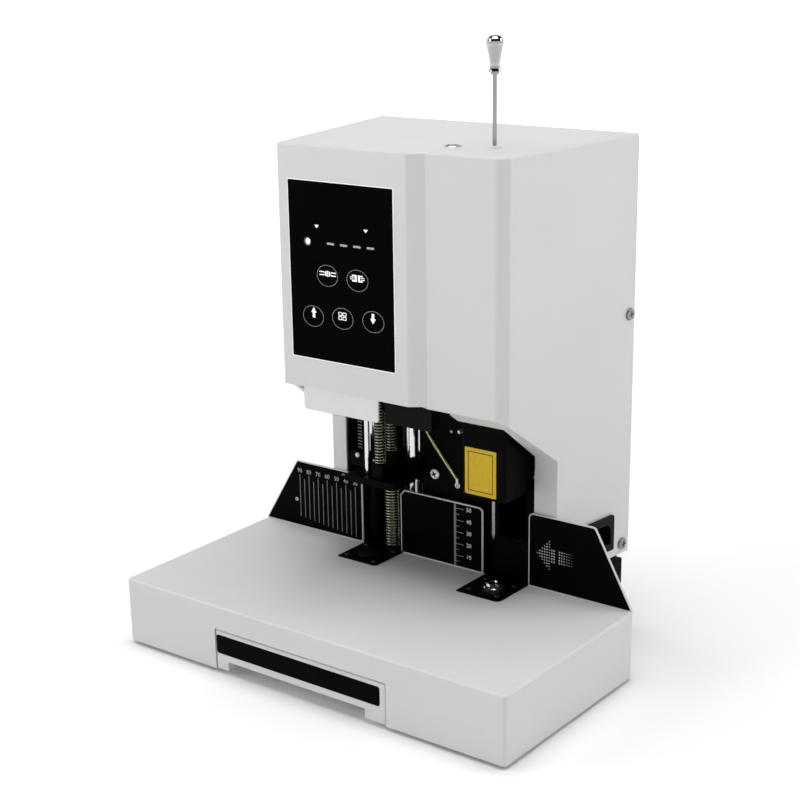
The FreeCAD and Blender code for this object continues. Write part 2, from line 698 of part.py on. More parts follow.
b = body("right_stop_plate")
sk = new_sketch(b, "XZ_Plane", D.stop_y)
polygon(sk, [(268.8, D.base_top), (D.total_width, D.base_top), (327.0, 116.3), (268.8, 116.3)])
pad(b, sk, 1.5)
dress(b, "Fillet", 4.0, lambda a, c, e: AY(a, c) and near(a, x=268.8, z=116.3))
dress(b, "Fillet", 3.0, lambda a, c, e: AY(a, c) and near(a, x=327.0, z=116.3))
sub(b, "right_stop_plate")

for label, x0, y0, x1, hole, hx, screws in (
        ("left_foot_plate", 109.0, 134.5, 147.5, 7.0, D.drill_x, FOOT_SCREWS[:4]),
        ("right_foot_plate", 229.6, 130.0, 268.7, 6.0, D.rivet_x, FOOT_SCREWS[4:])):
    b = body(label)
    sk = new_sketch(b, "XY_Plane", D.base_top)
    rect(sk, x0, y0, x1, D.stop_y - 0.5)
    pad(b, sk, 1.0)
    dress(b, "Fillet", 4.0, lambda a, c, e: AZ(a, c) and near(a, x=x1, y=y0))
    sk = new_sketch(b, "XY_Plane", D.base_top + 2.0)
    circle(sk, hx, D.tool_y, hole)
    for x, y in screws:
        circle(sk, x, y, 1.5 + D.fit)
    pocket(b, sk, 4.0)
    sub(b, label)

# Drill pad: a plastic plug that the drill runs down to.
b = body("drill_pad")
revolve(b, [(0, 52.0), (6.8, 52.0), (6.8, 57.0), (9.0, 57.0), (9.0, 57.6), (8.6, 58.0), (0, 58.0)])
sub(b, "drill_pad", D.drill_x, D.tool_y, 0)

# Lower die: a turned cup that upsets the lower end of the rivet.
b = body("lower_rivet_die")
revolve(b, [(2.0, 50.0), (5.8, 50.0), (5.8, 57.0), (8.2, 57.0), (8.2, 58.0), (7.6, 58.6), (5.8, 59.0),
            (5.0, 60.7), (4.4, 61.1), (3.2, 61.1), (2.6, 60.3), (2.0, 60.1)])
sub(b, "lower_rivet_die", D.rivet_x, D.tool_y, 0)

# ===================================================================== SCREWS
def screw_master(head_r, head_h, shank_r, shank_l, recess):
    """Pan-head cross-recess screw standing on Z = 0, shank downwards."""
    head = doc.addObject("Part::Cylinder", "Head")
    head.Radius, head.Height = head_r, head_h
    doc.recompute()
    top = [i + 1 for i, e in enumerate(head.Shape.Edges)
           if abs(e.CenterOfMass.z - head_h) < 1e-6 and e.Length > 1.0 and e.Curve.TypeId == "Part::GeomCircle"]
    soft = doc.addObject("Part::Fillet", "Soft")
    soft.Base = head
    soft.Edges = [(i, head_h * 0.55, head_h * 0.55) for i in top]
    shank = doc.addObject("Part::Cylinder", "Shank")
    shank.Radius, shank.Height = shank_r, shank_l
    place(shank, 0, 0, -shank_l)
    w = recess * 0.24
    a = box(-recess / 2, -w / 2, head_h * 0.45, recess / 2, w / 2, head_h + 1)
    c = box(-w / 2, -recess / 2, head_h * 0.45, w / 2, recess / 2, head_h + 1)
    return cut(fuse([soft, shank]), [a, c])


def stand(shape, at, direction):
    s = shape.copy()
    s.Placement = FreeCAD.Placement(at, FreeCAD.Rotation(V(0, 0, 1), direction))
    return s


m3 = screw_master(2.3, 1.0, 1.5, 4.5, 2.4)
m4 = screw_master(3.6, 2.0, 1.5, 0.001 + 0.5, 4.2)
m5 = screw_master(4.75, 2.0, 2.0, 4.0, 5.2)
doc.recompute()
small = [stand(m3.Shape, V(x, y, num(D.deck_z)), V(0, 0, 1)) for x, y in FOOT_SCREWS]
feature("foot_plate_screws", Part.makeCompound(small))
big = [stand(m5.Shape, p, n) for p, n in SIDE_SCREWS]
big += [stand(m5.Shape, V(x, num(D.head_back) + 1.5, z), V(0, 1, 0)) for x, z in REAR_SCREWS]
feature("cover_screws", Part.makeCompound(big))

# Blanked fixing on the top: a ring with a screw in its middle.
b = body("top_screw")
revolve(b, [(0, -5.0), (2.0, -5.0), (2.0, 0), (6.6, 0), (6.6, 0.5), (6.2, 0.9), (5.2, 0.9), (4.8, 0.3),
            (2.7, 0.3), (2.3, 0.9), (0, 0.9)])
sub(b, "top_screw", 219.6, 142.6, D.head_top)

# ================================================================ ELECTRICS
# Inlet with its rocker: local X out of the side wall, local Y towards the rear.
b = body("power_inlet")
sk = new_sketch(b, "YZ_Plane", -24.0)
rect(sk, -20.0, -12.0, 20.0, 12.0)
pad(b, sk, 24.0)
sk = new_sketch(b, "YZ_Plane", 0.0)
rect(sk, -23.0, -14.5, 23.0, 14.5)
pad(b, sk, 2.5)
dress(b, "Fillet", 1.5, lambda a, c, e: AX(a, c) and abs(a.y) > 22.9)
sk = new_sketch(b, "YZ_Plane", 2.5)
polygon(sk, [(-3.5, -8.5), (18.5, -8.5), (18.5, 4.0), (14.0, 8.5), (1.0, 8.5), (-3.5, 4.0)])
pocket(b, sk, 19.0)
sk = new_sketch(b, "YZ_Plane", 2.5)
rect(sk, -18.5, -10.0, -6.5, 10.0)
pocket(b, sk, 12.0)
sk = new_sketch(b, "XZ_Plane", -19.6)
circle(sk, 0, 0, 1.2 + D.fit)
pocket(b, sk, 14.2)
sk = new_sketch(b, "YZ_Plane", -16.5)
for y, z in ((1.5, -3.0), (13.5, -3.0), (7.5, 2.0)):
    rect(sk, y - 2.0, z - 1.0, y + 2.0, z + 1.0)
pad(b, sk, 12.0)
spin = FreeCAD.Rotation(V(0, 0, 1), turn)
b.Label = "power_inlet"
b.Placement = FreeCAD.Placement(inlet_at - V(num(HX), num(HY), 0), spin)
SUBPARTS.append(b)

# Rocker, standing pressed in at its lower end.
b = body("rocker_switch")
sk = new_sketch(b, "XZ_Plane", -5.7)
polygon(sk, [(-4.5, -7.5), (2.8, -9.2), (4.4, -9.0), (3.2, 0), (4.4, 9.0), (2.8, 9.2), (-4.5, 7.5)])
pad(b, sk, 11.4)
sk = new_sketch(b, "XZ_Plane", -6.9)
circle(sk, 0, 0, 1.2)
pad(b, sk, 13.8)
b.Label = "rocker_switch"
rocker_at = inlet_at - ru * 12.5 - V(num(HX), num(HY), 0)
b.Placement = FreeCAD.Placement(rocker_at, spin.multiply(FreeCAD.Rotation(V(0, 1, 0), 8.0)))
SUBPARTS.append(b)

b = body("power_supply")
sk = new_sketch(b, "XY_Plane", 75.0)
rect(sk, 96.0, 225.0, 194.0, 261.0)
pad(b, sk, 175.0)
sk = new_sketch(b, "XY_Plane", 250.0)
rect(sk, 100.0, 232.0, 190.0, 262.0)
pocket(b, sk, 14.0)
sub(b, "power_supply")

# ================================================================ FEED DRIVES
for label, x, half in (("drill_feed_motor", D.feed_x, 17.5), ("rivet_feed_motor", D.rivet_x, 21.0)):
    b = body(label)
    sk = new_sketch(b, "XY_Plane", 15.0)
    rect(sk, -half, -half, half, half)
    pad(b, sk, 40.0)
    dress(b, "Chamfer", 4.0, lambda a, c, e: AZ(a, c))
    sk = new_sketch(b, "XY_Plane", 55.0)
    circle(sk, 0, 0, 11.0)
    pad(b, sk, 2.0)
    sk = new_sketch(b, "XY_Plane", 57.0)
    circle(sk, 0, 0, 2.5)
    pocket(b, sk, 18.0)
    sub(b, label, x, D.screw_y, 0)

for label, x in (("drill_lead_screw", D.feed_x), ("rivet_lead_screw", D.rivet_x)):
    b = body(label)
    revolve(b, [(0, 42.0), (2.44, 42.0), (2.44, 58.0), (8.0, 58.0), (8.0, 78.0), (D.screw_radius, 80.0),
                (D.screw_radius, 369.0), (4.0, 370.5), (0, 370.5)])
    sub(b, label, x, D.screw_y, 0)

for label, x, z in (("drill_feed_nut", D.feed_x, 230.0), ("rivet_feed_nut", D.rivet_x, 228.0)):
    b = body(label)
    revolve(b, [(D.screw_radius + D.fit, -18.0), (8.0, -18.0), (8.0, 0), (11.0, 0), (11.0, 6.0),
                (D.screw_radius + D.fit, 6.0)])
    sub(b, label, x, D.screw_y, z)

# ============================================================= DRILL CARRIAGE
PIN_A, PIN_B, PIN_C = (141.5, 152.0), (129.5, 183.3), (152.3, 180.0)
b = body("drill_carriage")
sk = new_sketch(b, "XY_Plane", 195.0)
polygon(sk, [(94.0, 142.0), (98.0, 138.0), (158.5, 138.0), (158.5, 219.5), (94.0, 219.5)])
pad(b, sk, 35.0)
sk = new_sketch(b, "XY_Plane", 230.0)
for x in RODS[:2]:
    circle(sk, x, D.rod_y, D.rod_radius + D.fit)
circle(sk, D.drill_x, D.tool_y, 5.0)
circle(sk, PIN_A[0], PIN_A[1], 2.5 + D.fit)
circle(sk, PIN_B[0], PIN_B[1], 2.5 + D.fit)
circle(sk, PIN_C[0], PIN_C[1], 4.5 + D.fit)
circle(sk, D.feed_x, D.screw_y, 8.0)
pocket(b, sk, 35.0)
sk = new_sketch(b, "XY_Plane", 222.0)
circle(sk, PIN_A[0], PIN_A[1], 5.5)
circle(sk, PIN_B[0], PIN_B[1], 5.5)
pocket(b, sk, 27.0)
sub(b, "drill_carriage")

MOTOR = (107.5, 166.0)
b = body("drill_motor")
revolve(b, [(1.65, 262.0), (1.65, 293.0), (6.0, 293.0), (6.0, 290.0), (16.5, 290.0), (17.5, 289.0),
            (17.5, 231.0), (16.5, 230.0), (0, 230.0), (0, 262.0)])
sub(b, "drill_motor", MOTOR[0], MOTOR[1], 0)

b = body("motor_pulley")
revolve(b, [(0, 265.0), (1.6, 265.0), (1.6, 299.0), (9.0, 299.0), (9.0, 300.5), (7.5, 300.5), (7.5, 311.5),
            (9.0, 311.5), (9.0, 313.0), (0, 313.0)])
sub(b, "motor_pulley", MOTOR[0], MOTOR[1], 0)

b = body("spindle_pulley")
revolve(b, [(4.95, 299.0), (14.6, 299.0), (14.6, 300.5), (13.0, 300.5), (13.0, 311.5), (14.6, 311.5),
            (14.6, 313.0), (4.95, 313.0)])
sub(b, "spindle_pulley", D.drill_x, D.tool_y, 0)

b = body("drill_spindle")
revolve(b, [(0, 186.0), (2.45, 186.0), (2.45, 178.0), (6.6, 178.0), (7.5, 179.0), (7.5, 193.0), (6.5, 194.0),
            (4.95, 194.0), (4.95, 315.0), (4.2, 316.0), (0, 316.0)])
sub(b, "drill_spindle", D.drill_x, D.tool_y, 0)

b = body("hollow_drill_bit")
revolve(b, [(1.5, 121.6), (1.8, 121.3), (2.1, 123.5), (2.1, 176.5), (2.45, 178.0), (2.45, 186.0), (1.5, 186.0)])
sub(b, "hollow_drill_bit", D.drill_x, D.tool_y, 0)


def belt_shape(c1, r1, c2, r2, t, z0, z1):
    """Open belt round two pulleys: two arcs joined by their outer tangents."""
    def loop(a, b_):
        dx, dy = c2[0] - c1[0], c2[1] - c1[1]
        dist = math.hypot(dx, dy)
        base_ang = math.atan2(dy, dx)
        off = math.acos((a - b_) / dist)
        t1, t2 = base_ang + off, base_ang - off

        def pt(c, r, ang):
            return V(c[0] + r * math.cos(ang), c[1] + r * math.sin(ang), z0)
        arc1 = Part.Arc(pt(c1, a, t1), pt(c1, a, base_ang + math.pi), pt(c1, a, t2))
        arc2 = Part.Arc(pt(c2, b_, t2), pt(c2, b_, base_ang), pt(c2, b_, t1))
        l1 = Part.LineSegment(pt(c1, a, t2), pt(c2, b_, t2))
        l2 = Part.LineSegment(pt(c2, b_, t1), pt(c1, a, t1))
        return Part.Wire([arc1.toShape(), l1.toShape(), arc2.toShape(), l2.toShape()])
    outer = Part.Face(loop(r1 + t, r2 + t)).extrude(V(0, 0, z1 - z0))
    inside = Part.Face(loop(r1, r2)).extrude(V(0, 0, z1 - z0))
    return outer.cut(inside)


feature("drive_belt", belt_shape((num(D.drill_x), num(D.tool_y)), 13.3, MOTOR, 7.8, 1.3, 301.0, 311.0))

# Press foot: it holds the paper down round the drill.  Two springs push it
# down from the carriage and one spring under it lifts it off the table.
b = body("press_plate")
sk = new_sketch(b, "XY_Plane", 121.0)
polygon(sk, [(113.0, 141.0), (162.0, 141.0), (162.0, 186.0), (144.0, 186.0), (144.0, 191.0),
             (121.0, 191.0), (121.0, 186.0), (113.0, 186.0)])
pad(b, sk, 5.5)
sk = new_sketch(b, "XY_Plane", 126.5)
polygon(sk, [(121.0, 172.0), (137.2, 172.0), (137.2, 145.0), (148.0, 145.0), (148.0, 172.0),
             (159.0, 172.0), (159.0, 186.0), (144.0, 186.0), (144.0, 191.0), (121.0, 191.0)])
pad(b, sk, 11.5)
sk = new_sketch(b, "XY_Plane", 126.5)
rect(sk, 102.0, 163.0, 119.0, 171.0)
pad(b, sk, 12.5)
# slot that lets the foot come down past the end of the centre stop plate
sk = new_sketch(b, "XY_Plane", 139.0)
rect(sk, 144.6, 170.8, 163.0, 174.7)
pocket(b, sk, 19.0)
sk = new_sketch(b, "XY_Plane", 140.0)
circle(sk, D.drill_x, D.tool_y, 4.0)
circle(sk, PIN_C[0], PIN_C[1], 2.25)
pocket(b, sk, 22.0)
sub(b, "press_plate")

pins = [cyl(PIN_A[0], PIN_A[1], 138.0, 2.5, 102.0), cyl(PIN_B[0], PIN_B[1], 138.0, 2.5, 102.0),
        fuse([cyl(PIN_C[0], PIN_C[1], 138.0, 4.5, 102.0), cyl(PIN_C[0], PIN_C[1], 80.0, 2.25, 58.0)])]
sub(group(pins), "press_pins")


def coil(r, wire, turns, height, n=8):
    """Spring wire swept round a polygonal helix, standing on Z = 0."""
    pts = []
    count = int(turns * n)
    low, high = wire * 0.55, height - wire * 0.55
    for i in range(count + 1):
        a = 2 * math.pi * i / n
        pts.append(V(r * math.cos(a), r * math.sin(a), low + (high - low) * i / count))
    path = Part.makePolygon(pts)
    d = (pts[1] - pts[0]).normalize()
    prof = Part.Wire([Part.makeCircle(wire / 2.0, pts[0], d)])
    return path.makePipeShell([prof], True, False, 1)


spring_a = coil(4.3, 0.9, 35, 84.0)
spring_b = spring_a.copy()
spring_a.translate(V(PIN_A[0], PIN_A[1], 138.0))
spring_b.translate(V(PIN_B[0], PIN_B[1], 138.0))
feature("press_springs", Part.makeCompound([spring_a, spring_b]))
feature("return_spring", coil(6.4, 1.0, 48, 116.5), PIN_B[0], PIN_B[1], 4.5)
feature("pull_spring", coil(1.6, 0.5, 22, 55.5, 6), 108.5, 168.0, 139.2)

# ============================================================= RIVET CARRIAGE
slide_block = box(216.0, 184.0, 168.0, 282.0, 219.5, 228.0)
arm = box(238.0, 146.0, 176.0, 260.0, 184.0, 200.0)
boss = box(241.0, 144.0, 200.0, 259.0, 160.0, 203.8)
tools = [cyl(x, D.rod_y, 160.0, D.rod_radius + D.fit, 80.0) for x in RODS[2:]]
tools += [cyl(D.rivet_x, D.screw_y, 160.0, 8.0, 80.0), cyl(D.rivet_x, D.tool_y, 170.0, 2.0, 40.0)]
sub(cut(fuse([slide_block, arm, boss]), tools), "rivet_carriage")

b = body("rivet_head_cover")
sk = new_sketch(b, "XY_Plane", 132.5)
rect(sk, 229.0, 140.0, 268.0, 179.5)
pad(b, sk, 72.5)
dress(b, "Fillet", 1.5, lambda a, c, e: AZ(a, c) and a.y < 141)
sk = new_sketch(b, "XZ_Plane", 181.0)
rect(sk, 230.2, 133.7, 266.8, 203.8)
pocket(b, sk, 39.8, up=True)
sk = new_sketch(b, "XY_Plane", 206.0)
circle(sk, D.rivet_x, D.tool_y, 2.5)
pocket(b, sk, 5.0)
sk = new_sketch(b, "XY_Plane", 135.0)
circle(sk, D.rivet_x, D.tool_y, 6.6)
pocket(b, sk, 5.0)
sub(b, "rivet_head_cover")

b = body("heater_block")
sk = new_sketch(b, "XY_Plane", 150.0)
rect(sk, 238.0, 142.0, 262.0, 161.0)
pad(b, sk, 26.0)
sk = new_sketch(b, "XY_Plane", 176.0)
circle(sk, D.rivet_x, D.tool_y, 2.0)
pocket(b, sk, 26.0)
sk = new_sketch(b, "XY_Plane", 165.0)
circle(sk, D.rivet_x, D.tool_y, 5.0)
pocket(b, sk, 15.0)
sub(b, "heater_block")

b = body("upper_rivet_head")
revolve(b, [(1.8, 132.7), (2.6, 132.7), (3.4, 133.4), (4.4, 132.7), (5.2, 132.7), (6.0, 134.5), (6.0, 150.0),
            (5.0, 150.0), (5.0, 165.0), (1.8, 165.0)])
sub(b, "upper_rivet_head", D.rivet_x, D.tool_y, 0)

# ===================================================================== NEEDLE
b = body("guide_needle")
revolve(b, [(0, D.needle_low), (0.5, D.needle_low + 0.3), (D.needle_radius, D.needle_low + 4.0),
            (D.needle_radius, 448.5), (3.0, 448.5), (3.0, D.needle_high), (0, D.needle_high)])
sub(b, "guide_needle", D.rivet_x, D.tool_y, 0)

b = body("needle_knob")
revolve(b, [(0, D.needle_high), (4.3, D.needle_high), (4.6, 450.6), (4.4, 451.3), (3.7, 452.6), (3.5, 454.2),
            (3.7, 456.5), (4.4, 460.5), (5.3, 465.0), (5.95, 468.2), (6.15, 469.8), (6.05, 471.4),
            (5.4, 473.2), (4.2, 474.5), (2.4, 475.15), (0, 475.3)])
sub(b, "needle_knob", D.rivet_x, D.tool_y, 0)

b = body("needle_bushing")
revolve(b, [(D.needle_radius + 0.06, -5.0), (3.5, -5.0), (3.5, 0), (4.5, 0), (4.5, 0.9), (4.0, 1.4),
            (D.needle_radius + 0.06, 1.4)])
sub(b, "needle_bushing", D.rivet_x, D.tool_y, D.head_top)

# ================================================================= EARTH LEAD
# A short green and yellow lead, pulled straight between two screws on the
# dust panel; its run is three chords joined by wide arcs.
route = [V(197.2, 178.6, 127.2), V(190.0, 178.3, 135.6), V(178.5, 178.0, 149.2), V(168.5, 178.3, 161.6)]


def tube(points, dia):
    items = []
    start = points[0]
    for i in range(1, len(points) - 1):
        p0, p1, p2 = points[i - 1], points[i], points[i + 1]
        u, w = (p0 - p1), (p2 - p1)
        lu_, lw = u.Length, w.Length
        u.normalize()
        w.normalize()
        half = (math.pi - u.getAngle(w)) / 2.0
        r = 0.45 * min(lu_, lw) / math.tan(half)
        d = r * math.tan(half)
        a, c = p1 + u * d, p1 + w * d
        mid_dir = (u + w).normalize()
        centre = p1 + mid_dir * (r / math.cos(half))
        m = centre + (p1 - centre).normalize() * r
        items.append(Part.LineSegment(start, a).toShape())
        items.append(Part.Arc(a, m, c).toShape())
        start = c
        print("earth lead bend radius %.1f mm" % r)
    items.append(Part.LineSegment(start, points[-1]).toShape())
    wire = Part.Wire(items)
    d0 = (points[1] - points[0]).normalize()
    prof = Part.Wire([Part.makeCircle(dia / 2.0, points[0], d0)])
    s = wire.makePipeShell([prof], True, False)
    print("earth lead volume ratio %.4f" % (s.Volume / (math.pi * dia * dia / 4 * wire.Length)))
    return s


feature("earth_wire", tube(route, 2.0))

# ====================================================================== CHECK
doc.recompute()
bad = []
for o in doc.Objects:
    if "Invalid" in o.State or "Error" in o.State:
        bad.append((o.Name, o.Label, list(o.State)))
for o in SUBPARTS:
    s = o.Shape
    if s.isNull() or not s.isValid() or not s.Solids:
        bad.append((o.Label, "shape"))
if bad:
    for x in bad:
        print("BAD", x)
    raise SystemExit(1)
labels = [o.Label for o in SUBPARTS]
if len(set(labels)) != len(labels) or len(labels) > 60:
    print("labels", len(labels), sorted(x for x in labels if labels.count(x) > 1))
    raise SystemExit(1)
for o in SUBPARTS:
    o.Shape.exportStep("parts/%s.step" % o.Label)
total = FreeCAD.BoundBox()
for o in SUBPARTS:
    bb = o.Shape.BoundBox
    total.add(bb)
    print("%-22s solids %d  vol %9.0f  X %7.1f %7.1f  Y %7.1f %7.1f  Z %6.1f %6.1f" % (
        o.Label, len(o.Shape.Solids), o.Shape.Volume, bb.XMin, bb.XMax, bb.YMin, bb.YMax, bb.ZMin, bb.ZMax))
print("parts", len(SUBPARTS), total)
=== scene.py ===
import json
import math

import bpy
import bmesh
from mathutils import Matrix, Vector


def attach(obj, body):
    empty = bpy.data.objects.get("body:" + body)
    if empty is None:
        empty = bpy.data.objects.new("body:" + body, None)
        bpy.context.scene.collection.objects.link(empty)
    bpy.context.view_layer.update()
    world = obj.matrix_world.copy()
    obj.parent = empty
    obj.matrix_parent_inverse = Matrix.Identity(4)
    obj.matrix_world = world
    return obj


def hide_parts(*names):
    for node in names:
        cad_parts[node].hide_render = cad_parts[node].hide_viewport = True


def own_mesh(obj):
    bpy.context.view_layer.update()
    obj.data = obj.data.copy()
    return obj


# Desk riveting machine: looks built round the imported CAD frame.
# Drawing frame of the CAD: X from the left end of the base, Y from its front
# face, Z from the table, in millimetres.  P() turns that into scene metres.

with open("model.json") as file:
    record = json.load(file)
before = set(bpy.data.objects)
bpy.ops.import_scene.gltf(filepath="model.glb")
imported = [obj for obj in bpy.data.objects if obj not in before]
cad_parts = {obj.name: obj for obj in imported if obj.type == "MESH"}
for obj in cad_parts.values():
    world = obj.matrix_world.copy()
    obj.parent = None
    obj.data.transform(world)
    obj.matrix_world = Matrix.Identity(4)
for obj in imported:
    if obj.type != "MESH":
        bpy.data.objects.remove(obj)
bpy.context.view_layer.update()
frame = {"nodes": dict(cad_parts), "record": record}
NODES = frame["nodes"]


def P(x, y, z):
    return Vector(((x - 180.0) / 1000.0, (y - 135.0) / 1000.0, z / 1000.0))


# ===================================================================== SHADERS
class Mat:
    """A small node builder: one Principled surface with its textures."""

    def __init__(self, name, **values):
        self.m = bpy.data.materials.new(name)
        self.m.use_nodes = True
        self.nt = self.m.node_tree
        self.bsdf = self.nt.nodes["Principled BSDF"]
        for key, value in values.items():
            self.set(key, value)
        self.co = self.nt.nodes.new("ShaderNodeTexCoord")

    def set(self, key, value):
        sock = self.bsdf.inputs[key.replace("_", " ")]
        if sock.type == "RGBA":
            sock.default_value = (*value, 1.0) if len(value) == 3 else value
        else:
            sock.default_value = value

    def new(self, kind, **props):
        n = self.nt.nodes.new("ShaderNode" + kind)
        for key, value in props.items():
            setattr(n, key, value)
        return n

    def link(self, a, b):
        self.nt.links.new(a, b)

    def mapped(self, scale, rot=(0, 0, 0)):
        n = self.new("Mapping")
        n.inputs["Scale"].default_value = scale
        n.inputs["Rotation"].default_value = rot
        self.link(self.co.outputs["Object"], n.inputs["Vector"])
        return n.outputs["Vector"]

    def noise(self, scale, detail=2.0, rough=0.5, stretch=(1, 1, 1), distortion=0.0):
        n = self.new("TexNoise")
        n.inputs["Scale"].default_value = scale
        n.inputs["Detail"].default_value = detail
        n.inputs["Roughness"].default_value = rough
        n.inputs["Distortion"].default_value = distortion
        self.link(self.mapped(stretch), n.inputs["Vector"])
        return n.outputs["Fac"]

    def voronoi(self, scale, feature="F1", stretch=(1, 1, 1)):
        n = self.new("TexVoronoi", feature=feature)
        n.inputs["Scale"].default_value = scale
        self.link(self.mapped(stretch), n.inputs["Vector"])
        return n.outputs["Distance"]

    def ramp(self, fac, stops):
        n = self.new("ValToRGB")
        el = n.color_ramp.elements
        el[0].position, el[0].color = stops[0][0], (*stops[0][1], 1.0)
        el[1].position, el[1].color = stops[-1][0], (*stops[-1][1], 1.0)
        for pos, col in stops[1:-1]:
            e = el.new(pos)
            e.color = (*col, 1.0)
        self.link(fac, n.inputs["Fac"])
        return n.outputs["Color"]

    def span(self, fac, lo, hi, a=0.0, b=1.0):
        n = self.new("MapRange")
        n.inputs["From Min"].default_value = a
        n.inputs["From Max"].default_value = b
        n.inputs["To Min"].default_value = lo
        n.inputs["To Max"].default_value = hi
        self.link(fac, n.inputs["Value"])
        return n.outputs["Result"]

    def math(self, op, a, b):
        n = self.new("Math", operation=op)
        for i, v in enumerate((a, b)):
            if isinstance(v, (int, float)):
                n.inputs[i].default_value = v
            else:
                self.link(v, n.inputs[i])
        return n.outputs["Value"]

    def mix(self, fac, a, b, blend="MIX"):
        n = self.new("Mix", data_type="RGBA", blend_type=blend)
        for sock, v in ((n.inputs["Factor"], fac), (n.inputs[6], a), (n.inputs[7], b)):
            if isinstance(v, (int, float)):
                sock.default_value = v
            elif isinstance(v, tuple):
                sock.default_value = (*v, 1.0)
            else:
                self.link(v, sock)
        return n.outputs[2]

    def color(self, out):
        self.link(out, self.bsdf.inputs["Base Color"])

    def rough(self, out):
        self.link(out, self.bsdf.inputs["Roughness"])

    def bump(self, height, strength, distance):
        n = self.new("Bump")
        n.inputs["Strength"].default_value = strength
        n.inputs["Distance"].default_value = distance
        self.link(height, n.inputs["Height"])
        last = getattr(self, "last_bump", None)
        if last is not None:
            self.link(last, n.inputs["Normal"])
        self.last_bump = n.outputs["Normal"]
        self.link(n.outputs["Normal"], self.bsdf.inputs["Normal"])


def paint(name, low, high, rough_lo, rough_hi, peel=0.22, spec=0.5):
    """Powder coat: faint orange peel, fine grain in the gloss, slow tone drift."""
    m = Mat(name, IOR=1.5, Specular_IOR_Level=spec)
    drift = m.noise(9.0, 3.0, 0.55)
    grain = m.noise(900.0, 2.0, 0.6)
    m.color(m.mix(m.span(grain, 0.0, 0.35), m.ramp(drift, [(0.3, low), (0.7, high)]), low))
    m.rough(m.math("ADD", m.span(m.noise(40.0, 4.0, 0.6), rough_lo, rough_hi), m.span(grain, -0.02, 0.02)))
    m.bump(m.noise(520.0, 2.0, 0.5), peel, 0.00006)
    m.bump(m.voronoi(1400.0, "SMOOTH_F1"), peel * 0.5, 0.00003)
    return m.m


def metal(name, low, high, rough_lo, rough_hi, stretch=(1, 1, 1), scale=400.0, lines=0.12, aniso=0.0):
    """Bare metal with fine machining marks along one way and a slow tarnish."""
    m = Mat(name, Metallic=1.0)
    if aniso:
        m.set("Anisotropic", aniso)
    drift = m.noise(30.0, 4.0, 0.6)
    marks = m.noise(scale, 3.0, 0.65, stretch)
    m.color(m.mix(m.span(marks, 0.0, 0.6), m.ramp(drift, [(0.25, low), (0.75, high)]), high))
    m.rough(m.math("ADD", m.span(drift, rough_lo, rough_hi), m.span(marks, -0.05, 0.05)))
    m.bump(marks, lines, 0.00002)
    return m.m


def plastic(name, low, high, rough_lo, rough_hi, scale=1100.0, depth=0.25, spec=0.4):
    """Moulded plastic with a spark-eroded grain."""
    m = Mat(name, IOR=1.46, Specular_IOR_Level=spec)
    m.color(m.ramp(m.noise(14.0, 3.0, 0.5), [(0.3, low), (0.7, high)]))
    m.rough(m.span(m.noise(60.0, 3.0, 0.6), rough_lo, rough_hi))
    m.bump(m.voronoi(scale, "SMOOTH_F1"), depth, 0.00004)
    return m.m


def g(v):
    return (v, v, v)


M = {}
M["painted_body"] = paint("powder_coat_light_grey", g(0.655), g(0.685), 0.36, 0.46)
M["black_steel"] = paint("powder_coat_black", g(0.0010), g(0.0020), 0.36, 0.48, peel=0.26, spec=0.03)


def film_black():
    m = Mat("gloss_black_film", IOR=1.5, Specular_IOR_Level=0.012)
    m.color(m.ramp(m.noise(25.0, 3.0, 0.5), [(0.3, g(0.0006)), (0.7, g(0.0012))]))
    m.rough(m.span(m.noise(70.0, 4.0, 0.6), 0.22, 0.32))
    m.bump(m.voronoi(1800.0, "SMOOTH_F1"), 0.10, 0.00002)
    return m.m


M["black_film"] = film_black()


def print_film():
    m = Mat("screen_printed_black", IOR=1.5, Specular_IOR_Level=0.02)
    m.color(m.ramp(m.noise(25.0, 3.0, 0.5), [(0.3, g(0.0008)), (0.7, g(0.0016))]))
    m.rough(m.span(m.noise(70.0, 4.0, 0.6), 0.30, 0.42))
    m.bump(m.noise(1500.0, 2.0, 0.5), 0.16, 0.00002)
    return m.m


M["stop_film"] = print_film()


def ink(name, low, high, rough=0.45, glow=0.0, mesh=0.12):
    """Screen-printing ink: slightly uneven cover with a fine mesh bump."""
    m = Mat(name, Roughness=rough, Specular_IOR_Level=0.3)
    m.color(m.ramp(m.noise(700.0, 3.0, 0.6), [(0.3, low), (0.6, high)]))
    m.bump(m.noise(2500.0, 2.0, 0.5), mesh, 0.00001)
    # glow makes the ink emit light: a painted brightness, with no lamp behind it
    if glow:
        m.set("Emission_Color", (1.0, 1.0, 1.0))
        m.set("Emission_Strength", glow)
    return m.m


M["ink_white"] = ink("white_print", g(0.62), g(0.80))
# white print made to glow a little: painted brightness on the icons and marks, not a lamp
M["icon_white_painted_glow"] = ink("icon_print_painted_glow", g(0.88), g(0.94), 0.5, glow=0.30)
M["ink_grey"] = ink("grey_print", g(0.14), g(0.19))
M["ink_dim"] = ink("dim_print", g(0.055), g(0.075))
M["ink_soft"] = ink("soft_white_print", g(0.36), g(0.48))
M["ink_ring"] = ink("ring_print", g(0.20), g(0.27))
M["lamp_glow_painted"] = ink("painted_lamp_glow_on_film", g(0.03), g(0.05))
M["label_white"] = ink("white_label", g(0.74), g(0.77), 0.45, mesh=0.02)
# pale rim with a little glow: a painted highlight along the control film's edge
M["film_rim_highlight"] = ink("painted_highlight_film_rim", g(0.84), g(0.90), 0.4, glow=0.22)
M["decal_yellow"] = ink("yellow_vinyl", (0.58, 0.385, 0.005), (0.68, 0.455, 0.009), 0.42)
M["decal_brown"] = ink("brown_print", (0.10, 0.035, 0.008), (0.16, 0.06, 0.012), 0.4)


